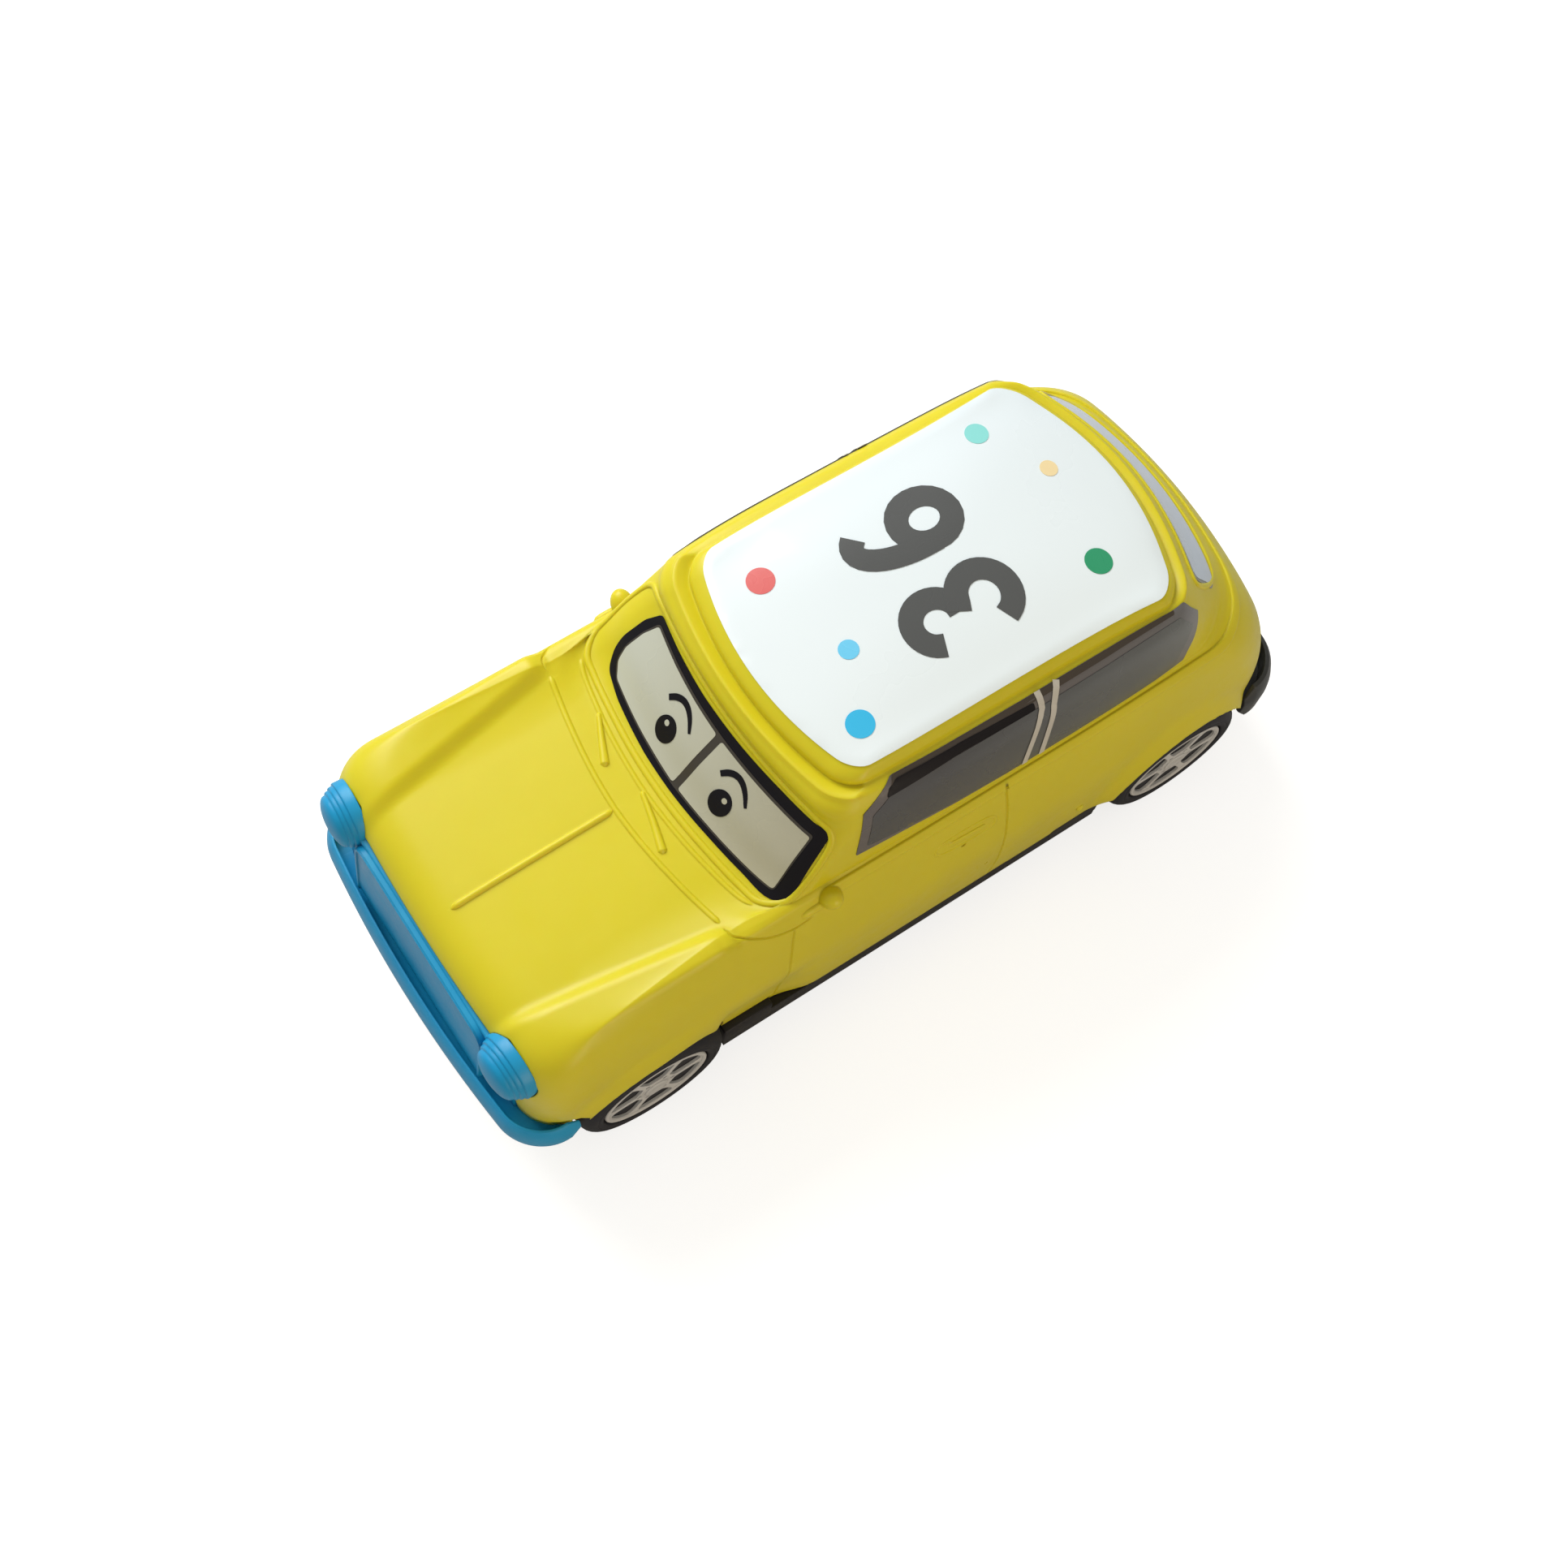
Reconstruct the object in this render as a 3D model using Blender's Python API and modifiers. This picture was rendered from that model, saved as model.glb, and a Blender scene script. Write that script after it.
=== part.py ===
"""Pull back toy car: moulded body, chassis, trims, labels, wheels, axles and a
spring motor that is geared to the rear axle.

Frame: metres, +Z up, ground at Z = 0.  The car's length runs along Y with the
nose towards -Y; X = 0 is the plane of symmetry and +X is the car's left side.
The origin is on the ground half way between the two axles.
Dimensions below are in millimetres and are multiplied by MM.
"""
import math

import bmesh
import bpy
import numpy as np
from mathutils import Matrix, Vector

MM = 0.001

# --------------------------------------------------------- shared dimensions
GAP = 0.3                 # between neighbouring pieces
RUN_GAP = 0.1             # radial running clearance of a shaft
SIDES = ((1, "left"), (-1, "right"))

WHEELBASE = 100.0
AXLE_FRONT_Y = -WHEELBASE / 2
AXLE_REAR_Y = WHEELBASE / 2
AXLES = (("front", AXLE_FRONT_Y), ("rear", AXLE_REAR_Y))
TYRE_R = 12.57
AXLE_Z = TYRE_R
AXLE_R = 1.0
ARCH_R = 13.6             # wheel arch radius

FLOOR_Z0 = 4.2            # underside of the chassis
FLOOR_Z1 = 6.2            # top of its floor

# body screws and the bosses they are driven into: place, y, top of the boss
BOSSES = (("front", -61.0, 40.4), ("rear", 61.0, 40.6))
BOSS_X = 15.0
BOSS_R = 3.0
SCREW_R = 1.1
SCREW_HEAD_R = 2.5
MOTOR_SCREW_R = 0.9
MOTOR_SCREW_HEAD_R = 2.0
SCREW_HEAD_H = 0.8
SINK_Z1 = FLOOR_Z0 + SCREW_HEAD_H + GAP     # top of the counterbores in the floor

# motor case, needed by the chassis for its screw holes
MOTOR_Y0, MOTOR_Y1 = 23.4, 59.2
MOTOR_FEET = (("front", MOTOR_Y0 - 3.0), ("rear", MOTOR_Y1 + 3.0))

# front trim: face plate and lamps, needed by the body for their pocket
PLATE_HALF_W = 23.4
PLATE_BACK_Y = -68.2
PLATE_Z0, PLATE_Z1 = 12.7, 36.1
LAMP_X, LAMP_Y, LAMP_Z = 22.25, -69.6, 34.7
LAMP_R = 5.4

# Body outline: each row is one closed line round the car, from the sill up to
# the middle of the roof.  Columns: y and z of its front centre, half width and
# z of its side, y and z of its rear centre, front and rear corner radius, how
# far the front and rear corners sit back from their centres, and half width
# near the front and near the rear corners.
RINGS = (
    (-69.5, 9.5, 29.4, 9.0, 70.4, 10.0, 8.0, 8.0, 2.0, 4.0, 28.2, 28.2),     # sill
    (-70.2, 14.0, 30.0, 13.5, 71.2, 16.0, 7.5, 8.0, 2.0, 4.0, 29.2, 28.8),
    (-70.6, 21.0, 30.4, 20.5, 71.4, 23.0, 7.0, 8.0, 2.0, 4.0, 30.2, 29.2),   # widest
    (-70.6, 29.0, 30.2, 28.0, 70.4, 30.0, 6.5, 8.0, 1.8, 4.0, 30.6, 29.2),
    (-70.0, 34.5, 29.2, 34.0, 68.7, 35.0, 6.0, 8.0, 1.6, 4.0, 30.0, 28.6),
    (-68.3, 38.4, 28.2, 38.6, 66.4, 39.6, 6.0, 8.0, 1.4, 4.2, 28.5, 27.8),   # shoulder
    (-65.0, 40.4, 27.3, 41.6, 64.0, 42.8, 6.0, 8.0, 1.4, 4.4, 26.4, 26.8),
    (-59.0, 41.2, 26.7, 42.9, 62.6, 44.6, 5.5, 8.5, 1.6, 4.6, 25.4, 26.0),   # bonnet
    (-49.0, 41.8, 26.3, 43.5, 61.7, 45.6, 5.2, 9.0, 2.2, 4.8, 24.2, 25.4),
    (-38.3, 42.3, 26.1, 44.0, 60.9, 46.6, 4.5, 9.0, 2.9, 5.0, 23.4, 25.0),   # cowl
    (-30.4, 42.8, 25.8, 44.8, 59.4, 48.2, 4.2, 8.5, 3.6, 5.2, 25.6, 24.6),   # window base
    (-25.4, 48.2, 25.3, 50.0, 56.9, 50.8, 4.2, 7.5, 3.2, 5.6, 24.6, 24.2),
    (-20.5, 53.8, 24.7, 55.0, 54.2, 53.8, 4.2, 6.0, 2.8, 6.2, 23.6, 23.8),   # window top
    (-20.6, 57.0, 23.9, 57.6, 52.6, 56.0, 4.2, 5.2, 3.0, 6.6, 22.6, 23.4),   # visor
    (-19.6, 58.6, 22.6, 59.2, 50.6, 58.2, 4.0, 4.6, 3.4, 6.0, 21.6, 22.6),
    (-18.0, 59.0, 21.2, 59.8, 49.2, 59.0, 3.5, 4.2, 3.6, 5.8, 20.6, 21.8),   # roof groove
    (-17.2, 60.2, 20.4, 61.0, 48.2, 59.9, 3.2, 4.0, 3.7, 5.6, 20.0, 21.2),
    (-16.0, 61.2, 19.6, 62.0, 47.3, 60.6, 3.0, 3.8, 3.8, 5.5, 19.2, 20.6),   # roof panel edge
    (-14.5, 61.7, 17.5, 62.5, 45.2, 61.1, 2.8, 3.5, 3.6, 5.4, 17.2, 18.0),
    (-8.0, 62.5, 11.0, 63.0, 38.5, 61.9, 2.0, 3.0, 2.4, 5.0, 11.0, 11.0),
    (0.0, 63.2, 0.0, 63.3, 29.5, 62.9, 0.0, 0.0, 0.0, 0.0, 0.0, 0.0),        # roof spine
)
ROOF_PANEL_ROWS = (17, 18, 19, 20)
BODY_ROWS = (0, 1, 3, 4, 5, 6, 7, 9, 10, 12, 13, 14, 15, 17, 18, 19, 20)   # used for the shell
MID_Y = 8.0                                  # where the taper to front and rear starts
# share u of a half line at which its front, front corner, side, rear corner and
# rear start and end, and the number of facets on each of them
STOPS = (0.0, 0.26, 0.36, 0.66, 0.76, 1.0)
FACETS = (4, 3, 6, 3, 4)
BODY_U = [a + (b - a) * i / n
          for a, b, n in zip(STOPS, STOPS[1:], FACETS) for i in range(n)] + [1.0]

# Bumpers: plan outlines with the columns of RINGS, and sections as z and outward move
BUMPER_FRONT = (-74.2, 16.0, 31.5, 16.0, 74.0, 16.0, 7.0, 8.0, 2.2, 4.0, 31.3, 30.0)
BUMPER_REAR = (-73.0, 18.0, 31.2, 18.0, 74.2, 18.0, 7.5, 7.5, 1.2, 2.6, 30.8, 30.8)
FRONT_BAND = ((15.6, -0.9), (16.4, -0.1), (18.6, 0.0), (20.2, -0.5), (21.2, -1.3))
REAR_BAND = ((13.2, -0.8), (14.6, 0.0), (18.6, 0.0), (21.2, -0.5), (22.4, -1.2))
BAND_T = 1.9
WEB_Z0, WEB_Z1 = 15.9, 18.2                  # flat web between bumper and body


# ----------------------------------------------------------------- materials
def material(name, colour, roughness, metallic=0.0):
    mat = bpy.data.materials.new(name)
    mat.use_nodes = True
    shader = mat.node_tree.nodes["Principled BSDF"]
    shader.inputs["Base Color"].default_value = (*colour, 1.0)
    shader.inputs["Roughness"].default_value = roughness
    shader.inputs["Metallic"].default_value = metallic


def make_materials():
    # mouldings
    material("yellow_plastic", colour=(0.72, 0.62, 0.035), roughness=0.38)
    material("blue_plastic", colour=(0.02, 0.26, 0.55), roughness=0.35)
    material("black_plastic", colour=(0.012, 0.012, 0.016), roughness=0.45)
    material("wheel_plastic", colour=(0.015, 0.015, 0.02), roughness=0.55)
    material("hub_grey", colour=(0.5, 0.52, 0.56), roughness=0.4)
    material("gear_plastic", colour=(0.75, 0.74, 0.7), roughness=0.45)
    material("motor_case_plastic", colour=(0.05, 0.05, 0.055), roughness=0.5)
    # labels
    material("white_label", colour=(0.82, 0.88, 0.9), roughness=0.25)
    material("dark_window_label", colour=(0.07, 0.07, 0.075), roughness=0.3)
    material("windscreen_label_print", colour=(0.45, 0.45, 0.36), roughness=0.3)
    material("rear_window_label_print", colour=(0.45, 0.5, 0.56), roughness=0.3)
    # metals
    material("steel", colour=(0.56, 0.57, 0.58), roughness=0.3, metallic=1.0)
    material("spring_steel", colour=(0.3, 0.32, 0.36), roughness=0.3, metallic=1.0)
    material("brass", colour=(0.7, 0.5, 0.2), roughness=0.3, metallic=1.0)


# ------------------------------------------------------------------- helpers
# The shape functions take the name of a material.  A shape without one is a
# helper that is only used in a boolean, and goes to the cutters collection.
def clear_scene():
    for obj in list(bpy.data.objects):
        bpy.data.objects.remove(obj, do_unlink=True)


def make_collections():
    for name in ("pull_back_car", "cutters"):
        bpy.context.scene.collection.children.link(bpy.data.collections.new(name))


def place(name, mesh, mat):
    """Make an object of a mesh, in the collection that suits its material."""
    obj = bpy.data.objects.new(name, mesh)
    bpy.data.collections["pull_back_car" if mat else "cutters"].objects.link(obj)
    if mat:
        mesh.materials.append(bpy.data.materials[mat])
    return obj


def at(x, y, z):
    return Matrix.Translation(Vector((x, y, z)) * MM)


AXIS = {
    "x": Matrix.Rotation(math.pi / 2, 4, "Y"),
    "-x": Matrix.Rotation(-math.pi / 2, 4, "Y"),
    "y": Matrix.Rotation(-math.pi / 2, 4, "X"),
    "-y": Matrix.Rotation(math.pi / 2, 4, "X"),
    "z": Matrix.Identity(4),
}


def sided(side, inner, outer):
    """X range between two distances from the plane of symmetry, lower end first."""
    return sorted((side * inner, side * outer))


def mesh_from(name, bm):
    mesh = bpy.data.meshes.new(name)
    bm.to_mesh(mesh)
    bm.free()
    return mesh


def solid_object(name, bm, mat):
    bmesh.ops.recalc_face_normals(bm, faces=bm.faces)
    mesh = mesh_from(name, bm)
    mesh.shade_smooth()
    mesh.set_sharp_from_angle(angle=math.radians(35.0))
    return place(name, mesh, mat)


def weld(mesh):
    """Merge coincident vertices and turn all faces outwards."""
    bm = bmesh.new()
    bm.from_mesh(mesh)
    bmesh.ops.remove_doubles(bm, verts=bm.verts, dist=1e-6)
    bmesh.ops.recalc_face_normals(bm, faces=bm.faces)
    bm.to_mesh(mesh)
    bm.free()


def evaluated_mesh(obj):
    depsgraph = bpy.context.evaluated_depsgraph_get()
    return bpy.data.meshes.new_from_object(obj.evaluated_get(depsgraph))


def apply_modifiers(obj):
    mesh = evaluated_mesh(obj)
    obj.modifiers.clear()
    old = obj.data
    obj.data = mesh
    bpy.data.meshes.remove(old)
    weld(mesh)


def box(name, lo, hi, mat=None):
    bm = bmesh.new()
    bmesh.ops.create_cube(bm, size=1.0)
    for v in bm.verts:
        v.co = Vector(((v.co[i] + 0.5) * (hi[i] - lo[i]) + lo[i]) * MM for i in range(3))
    return solid_object(name, bm, mat)


def rod(name, radius, lo, hi, axis, centre, mat=None, segments=24):
    """A round bar along an axis from lo to hi, its centre line through centre."""
    bm = bmesh.new()
    bmesh.ops.create_cone(bm, cap_ends=True, segments=segments, radius1=radius * MM,
                          radius2=radius * MM, depth=(hi - lo) * MM)
    obj = solid_object(name, bm, mat)
    middle = list(centre)
    middle["xyz".index(axis)] = (lo + hi) / 2
    obj.matrix_world = at(*middle) @ AXIS[axis]
    return obj


def flat_part(name, outlines, thickness, mat=None):
    """A flat outline (the first list, later lists are holes) of a thickness in
    mm, lying in its own XY plane and centred on it."""
    curve = bpy.data.curves.new(name + "_outline", "CURVE")
    curve.dimensions = "2D"
    curve.fill_mode = "BOTH"
    curve.extrude = thickness * MM / 2
    for points in outlines:
        spline = curve.splines.new("POLY")
        spline.points.add(len(points) - 1)
        for point, (x, y) in zip(spline.points, points):
            point.co = (x * MM, y * MM, 0.0, 1.0)
        spline.use_cyclic_u = True
    curve_obj = bpy.data.objects.new(name + "_curve", curve)
    bpy.context.scene.collection.objects.link(curve_obj)
    mesh = evaluated_mesh(curve_obj)
    mesh.name = name
    bpy.data.objects.remove(curve_obj, do_unlink=True)
    mesh.materials.clear()
    weld(mesh)
    return place(name, mesh, mat)


def turned(name, profile, steps, mat=None):
    """A part turned about its own Z.  profile lists (radius, height) in mm; it is
    closed into a ring section unless it starts and ends at radius 0."""
    bm = bmesh.new()
    verts = [bm.verts.new((r * MM, 0.0, z * MM)) for r, z in profile]
    for pair in zip(verts, verts[1:]):
        bm.edges.new(pair)
    if profile[0][0] != 0.0 or profile[-1][0] != 0.0:
        bm.edges.new((verts[-1], verts[0]))
    obj = place(name, mesh_from(name, bm), mat)
    screw = obj.modifiers.new("turn", "SCREW")
    screw.axis = "Z"
    screw.angle = 2 * math.pi
    screw.steps = steps
    screw.render_steps = steps
    screw.use_merge_vertices = True
    screw.merge_threshold = 1e-6
    screw.use_smooth_shade = True
    screw.use_normal_calculate = True
    return obj


def sheet(name, rows, thickness, offset, mat=None, mirror=True):
    """An open sheet through rows of points in mm, mirrored across X = 0 if asked,
    and thickened outwards (offset 1) or inwards (offset -1)."""
    bm = bmesh.new()
    grid = [[bm.verts.new(Vector(p) * MM) for p in row] for row in rows]
    for low, high in zip(grid, grid[1:]):
        for i in range(len(low) - 1):
            bm.faces.new((low[i], low[i + 1], high[i + 1], high[i]))
    bmesh.ops.remove_doubles(bm, verts=bm.verts, dist=1e-7)
    mesh = mesh_from(name, bm)
    mesh.shade_smooth()
    obj = place(name, mesh, mat)
    if mirror:
        mod = obj.modifiers.new("mirror", "MIRROR")
        mod.use_axis = (True, False, False)
        mod.use_clip = True
        mod.merge_threshold = 5e-5
    wall = obj.modifiers.new("wall", "SOLIDIFY")
    wall.thickness = thickness * MM
    wall.offset = offset
    wall.use_even_offset = False
    return obj


def boolean(obj, other, operation):
    mod = obj.modifiers.new(operation.lower(), "BOOLEAN")
    mod.operation = operation
    mod.solver = "EXACT"
    mod.object = other
    other.hide_render = True
    other.display_type = "WIRE"


def subtract(obj, other):
    boolean(obj, other, "DIFFERENCE")


def unite(obj, other):
    boolean(obj, other, "UNION")


def bevel(obj, width):
    mod = obj.modifiers.new("edges", "BEVEL")
    mod.width = width * MM
    mod.segments = 1
    mod.limit_method = "ANGLE"
    mod.angle_limit = math.radians(40.0)


def circle(radius, n=16):
    return [(radius * math.cos(2 * math.pi * i / n), radius * math.sin(2 * math.pi * i / n))
            for i in range(n)]


def smooth01(t):
    t = np.clip(t, 0.0, 1.0)
    return t * t * (3.0 - 2.0 * t)


# --------------------------------------------------------- body outer surface
def ring_at(v):
    """Row of RINGS at a fractional place, on a cubic through neighbouring rows."""
    table = np.array(RINGS)
    count = len(table)
    i = int(min(math.floor(v), count - 2))
    s = v - i
    p1, p2 = table[i], table[i + 1]
    p0 = table[i - 1] if i > 0 else 2 * p1 - p2
    p3 = table[i + 2] if i + 2 < count else 2 * p2 - p1
    return 0.5 * (2 * p1 + (p2 - p0) * s + (2 * p0 - 5 * p1 + 4 * p2 - p3) * s * s
                  + (3 * p1 - p0 - 3 * p2 + p3) * s ** 3)


def outline(row, u):
    """Points (mm) of the left half of one line; u = 0 is the front centre and
    u = 1 the rear centre."""
    (front_y, front_z, half_w, side_z, rear_y, rear_z, front_r, rear_r,
     front_set, rear_set, front_w, rear_w) = row
    u = np.asarray(u, float)
    x, y = np.zeros_like(u), np.zeros_like(u)
    pointed = half_w < 1e-6                  # the line is flattened to the plane of symmetry
    if pointed:
        y = front_y + (rear_y - front_y) * u
    else:
        part = u <= STOPS[1]                 # front
        x[part] = (half_w - front_r) * u[part] / STOPS[1]
        y[part] = front_y
        part = (u > STOPS[1]) & (u <= STOPS[2])     # front corner
        t = (u[part] - STOPS[1]) / (STOPS[2] - STOPS[1]) * math.pi / 2
        x[part] = half_w - front_r + front_r * np.sin(t)
        y[part] = front_y + front_r - front_r * np.cos(t)
        part = (u > STOPS[2]) & (u <= STOPS[3])     # side
        t = (u[part] - STOPS[2]) / (STOPS[3] - STOPS[2])
        x[part] = half_w
        y[part] = front_y + front_r + (rear_y - rear_r - front_y - front_r) * t
        part = (u > STOPS[3]) & (u <= STOPS[4])     # rear corner
        t = (u[part] - STOPS[3]) / (STOPS[4] - STOPS[3]) * math.pi / 2
        x[part] = half_w - rear_r + rear_r * np.cos(t)
        y[part] = rear_y - rear_r + rear_r * np.sin(t)
        part = u > STOPS[4]                  # rear
        x[part] = (half_w - rear_r) * (1 - (u[part] - STOPS[4]) / (1 - STOPS[4]))
        y[part] = rear_y
        # taper in width, and sweep the corners back from the centres
        to_front = np.clip((MID_Y - y) / (MID_Y - front_y), 0, 1)
        to_rear = np.clip((y - MID_Y) / (rear_y - MID_Y), 0, 1)
        across = (x / half_w) ** 2
        front_power = 3.0 if front_w < half_w else 1.5
        x = x * (1 - (1 - front_w / half_w) * to_front ** front_power
                 - (1 - rear_w / half_w) * to_rear ** 3)
        y = y + front_set * across * to_front ** 2 - rear_set * across * to_rear ** 2
    front_share = 1 - smooth01((u - 0.22) / 0.22)
    rear_share = smooth01((u - 0.60) / 0.20)
    z = side_z + (front_z - side_z) * front_share + (rear_z - side_z) * rear_share
    return np.stack([x, y, z], -1)


FENDER_RISE = 1.1
CREASE_X, CREASE_Y = 16.5, -69.0             # front end of the crease
CREASE_SLOPE = 5.7 / 34.0                    # its spread in x along y
FENDER_END_Y = -34.0
FENDER_BASE_Z = 35.0


def raise_fenders(points):
    """The front fenders stand above the bonnet panel, with a crease between."""
    x, y, z = np.abs(points[..., 0]), points[..., 1], points[..., 2]
    crease = CREASE_X + (y - CREASE_Y) * CREASE_SLOPE
    raised = points.copy()
    raised[..., 2] += (FENDER_RISE * smooth01((x - crease) / 2.6)
                       * smooth01((FENDER_END_Y - y) / 3.0)
                       * smooth01((z - FENDER_BASE_Z) / 5.0))
    return raised


BODY_LINES = [raise_fenders(outline(ring_at(v), BODY_U)) for v in BODY_ROWS]


def along_line(line, u):
    return np.stack([np.interp(u, BODY_U, line[:, c]) for c in range(3)], -1)


def shell_point(v, u, lift=0.0):
    """Points on the shell's flat facets, moved outwards by lift.  v counts rows
    of RINGS."""
    v = min(v, BODY_ROWS[-1] - 1e-6)
    k = max(i for i in range(len(BODY_ROWS) - 1) if BODY_ROWS[i] <= v)
    t = (v - BODY_ROWS[k]) / (BODY_ROWS[k + 1] - BODY_ROWS[k])
    u = np.asarray(u, float)
    low, high = along_line(BODY_LINES[k], u), along_line(BODY_LINES[k + 1], u)
    both = BODY_LINES[k] + BODY_LINES[k + 1]
    tangent = (along_line(both, np.clip(u + 0.02, 0, 1))
               - along_line(both, np.clip(u - 0.02, 0, 1)))
    normal = np.cross(tangent, high - low)
    normal /= np.linalg.norm(normal, axis=-1)[..., None] + 1e-12
    return low + (high - low) * t + lift * normal


# ------------------------------------------------------------ bumper elements
def plan_line(row, us, outward):
    """Plan (x, y) of an outline, moved outwards in plan."""
    step = 1e-3
    along = outline(row, np.clip(us + step, 0, 1)) - outline(row, np.clip(us - step, 0, 1))
    normal = np.stack([along[:, 1], -along[:, 0]], -1)
    normal /= np.linalg.norm(normal, axis=1)[:, None]
    return outline(row, us)[:, :2] + normal * outward


def band(name, row, u0, u1, section, thickness, mat=None):
    """A band that follows one plan outline, given as (z, outward move) pairs from
    bottom to top, on both sides of the plane of symmetry."""
    us = np.linspace(u0, u1, 15)
    rows = []
    for z, outward in section:
        plan = plan_line(row, us, outward)
        plan[np.abs(plan[:, 0]) < 0.05, 0] = 0.0
        rows.append(np.column_stack([plan, np.full(len(us), z)]))
    return sheet(name, rows, thickness, -1.0, mat)


def web(name, row, u0, u1):
    """Flat web on both sides that closes the space between a bumper bar and the
    body: it starts inside the bar and ends just short of the body."""
    us = np.linspace(u0, u1, 13)
    outer = plan_line(row, us, -1.0)
    inner = plan_line(ring_at(1.4), us, GAP + 0.25)

    def across(line):
        """A line from the left to the centre, continued from right to left."""
        return [(-x, y) for x, y in line] + [(x, y) for x, y in line[-2::-1]]

    if u1 < 1.0:                             # two separate webs
        half = [tuple(p) for p in outer] + [tuple(p) for p in inner[::-1]]
        loops = [half, [(-x, y) for x, y in half]]
    else:                                    # one web round the tail
        outer[-1, 0] = inner[-1, 0] = 0.0
        loops = [across(outer) + across(inner)[::-1]]
    obj = flat_part(name, loops, WEB_Z1 - WEB_Z0)
    obj.matrix_world = at(0, 0, (WEB_Z0 + WEB_Z1) / 2)
    return obj


# ----------------------------------------------------------------------- body
SHELL_T = 1.6
ARCH_X0, ARCH_X1 = 20.0, 36.0                # reach of the wheel arch cutters
NOSE_POCKET_TOP = 36.5


def cut_bumper_recess(body, place_name, row, u0, u1, section):
    """Recess in the body, a gap larger than the bumper that sits in it."""
    (z0, out0), (z1, out1) = section[0], section[-1]
    grown = [(z0 - GAP - 1.0, out0 + GAP)]
    grown += [(z, outward + GAP) for z, outward in section]
    grown += [(z1 + GAP + 0.2, out1 + GAP)]
    subtract(body, band(f"cut_bumper_{place_name}", row, u0, u1, grown, BAND_T + 2 * GAP))


def make_body():
    body = sheet("body_shell", BODY_LINES, SHELL_T, -1.0, "yellow_plastic")
    body.data.set_sharp_from_angle(angle=math.radians(60))
    for side, _ in SIDES:
        for axle, y in AXLES:
            subtract(body, rod(f"cut_arch_{axle}_{side}", ARCH_R, *sided(side, ARCH_X0, ARCH_X1),
                               "x", (0, y, AXLE_Z), segments=40))
    # pocket in the nose for the front trim and its lamps
    pocket_x = PLATE_HALF_W + GAP
    subtract(body, box("cut_nose", (-pocket_x, -80.0, PLATE_Z0 - GAP),
                       (pocket_x, PLATE_BACK_Y + GAP, NOSE_POCKET_TOP)))
    for side, _ in SIDES:
        subtract(body, rod(f"cut_lamp_{side}", LAMP_R + GAP, -80.0, -67.6, "y",
                           (side * LAMP_X, 0, LAMP_Z), segments=32))
    cut_bumper_recess(body, "front", BUMPER_FRONT, 0.0, 0.369, FRONT_BAND)
    cut_bumper_recess(body, "rear", BUMPER_REAR, 0.653, 1.0, REAR_BAND)
    # screw bosses that reach from the bonnet and the tail down to the chassis
    for end, y, top in BOSSES:
        for side, _ in SIDES:
            centre = (side * BOSS_X, y, 0)
            unite(body, rod(f"boss_{end}_{side}", BOSS_R, FLOOR_Z1 + GAP, top, "z", centre,
                            segments=14))
            subtract(body, rod(f"cut_boss_{end}_{side}", SCREW_R + GAP, 0.0, 20.0, "z", centre,
                               segments=12))


# -------------------------------------------------------------------- chassis
RIM_Z1 = 8.6              # top of the side rim
TRAY_HALF_W = 29.2        # between the wheels
TRAY_NARROW_W = 21.4      # half width of the part that runs the full length
POST_X = 15.5             # bearing posts
POST_HALF_T = 1.5
POST_HALF_L = 3.2


def screw_hole(chassis, prefix, suffix, x, y, shank_r, head_r, sink_segments):
    """Through hole and counterbore for a screw driven from below."""
    subtract(chassis, rod(f"{prefix}_hole_{suffix}", shank_r + GAP, 0.0, 8.0, "z", (x, y, 0),
                          segments=12))
    subtract(chassis, rod(f"{prefix}_sink_{suffix}", head_r + GAP, 0.0, SINK_Z1, "z", (x, y, 0),
                          segments=sink_segments))


def make_chassis():
    chassis = box("chassis", (-TRAY_HALF_W, AXLE_FRONT_Y + ARCH_R, FLOOR_Z0),
                  (TRAY_HALF_W, AXLE_REAR_Y - ARCH_R, RIM_Z1), "black_plastic")
    # the full length box is a hair thinner, so that no faces coincide
    unite(chassis, box("chassis_length", (-TRAY_NARROW_W, -66.4, FLOOR_Z0 + 0.002),
                       (TRAY_NARROW_W, 68.0, RIM_Z1 - 0.002)))
    subtract(chassis, box("cut_tray_middle", (-27.4, -32.8, FLOOR_Z1), (27.4, 32.8, 12.0)))
    subtract(chassis, box("cut_tray_length", (-19.6, -64.8, FLOOR_Z1), (19.6, 66.4, 12.5)))
    # bearing posts for both axles
    for axle, y in AXLES:
        for side, _ in SIDES:
            x = side * POST_X
            unite(chassis, box(f"post_{axle}_{side}",
                               (x - POST_HALF_T, y - POST_HALF_L, FLOOR_Z0 + 0.4),
                               (x + POST_HALF_T, y + POST_HALF_L, AXLE_Z + 3.0)))
        subtract(chassis, rod(f"cut_axle_{axle}", AXLE_R + RUN_GAP, -18.0, 18.0, "x",
                              (0, y, AXLE_Z), segments=16))
    for end, y, _ in BOSSES:
        for side, _ in SIDES:
            screw_hole(chassis, "cut", f"{end}_{side}", side * BOSS_X, y,
                       SCREW_R, SCREW_HEAD_R, sink_segments=14)
    for end, y in MOTOR_FEET:
        screw_hole(chassis, "cut_motor", end, 0, y,
                   MOTOR_SCREW_R, MOTOR_SCREW_HEAD_R, sink_segments=12)


# -------------------------------------------------------------------- bumpers
GRILLE_HALF_W = 17.4
GRILLE_CORNER_R = 2.6
GRILLE_BASE = -7.0        # lower edge, from the grille's own centre
GRILLE_CORNER_Y = 4.5     # centres of the upper corners
GRILLE_T = 2.0
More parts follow.
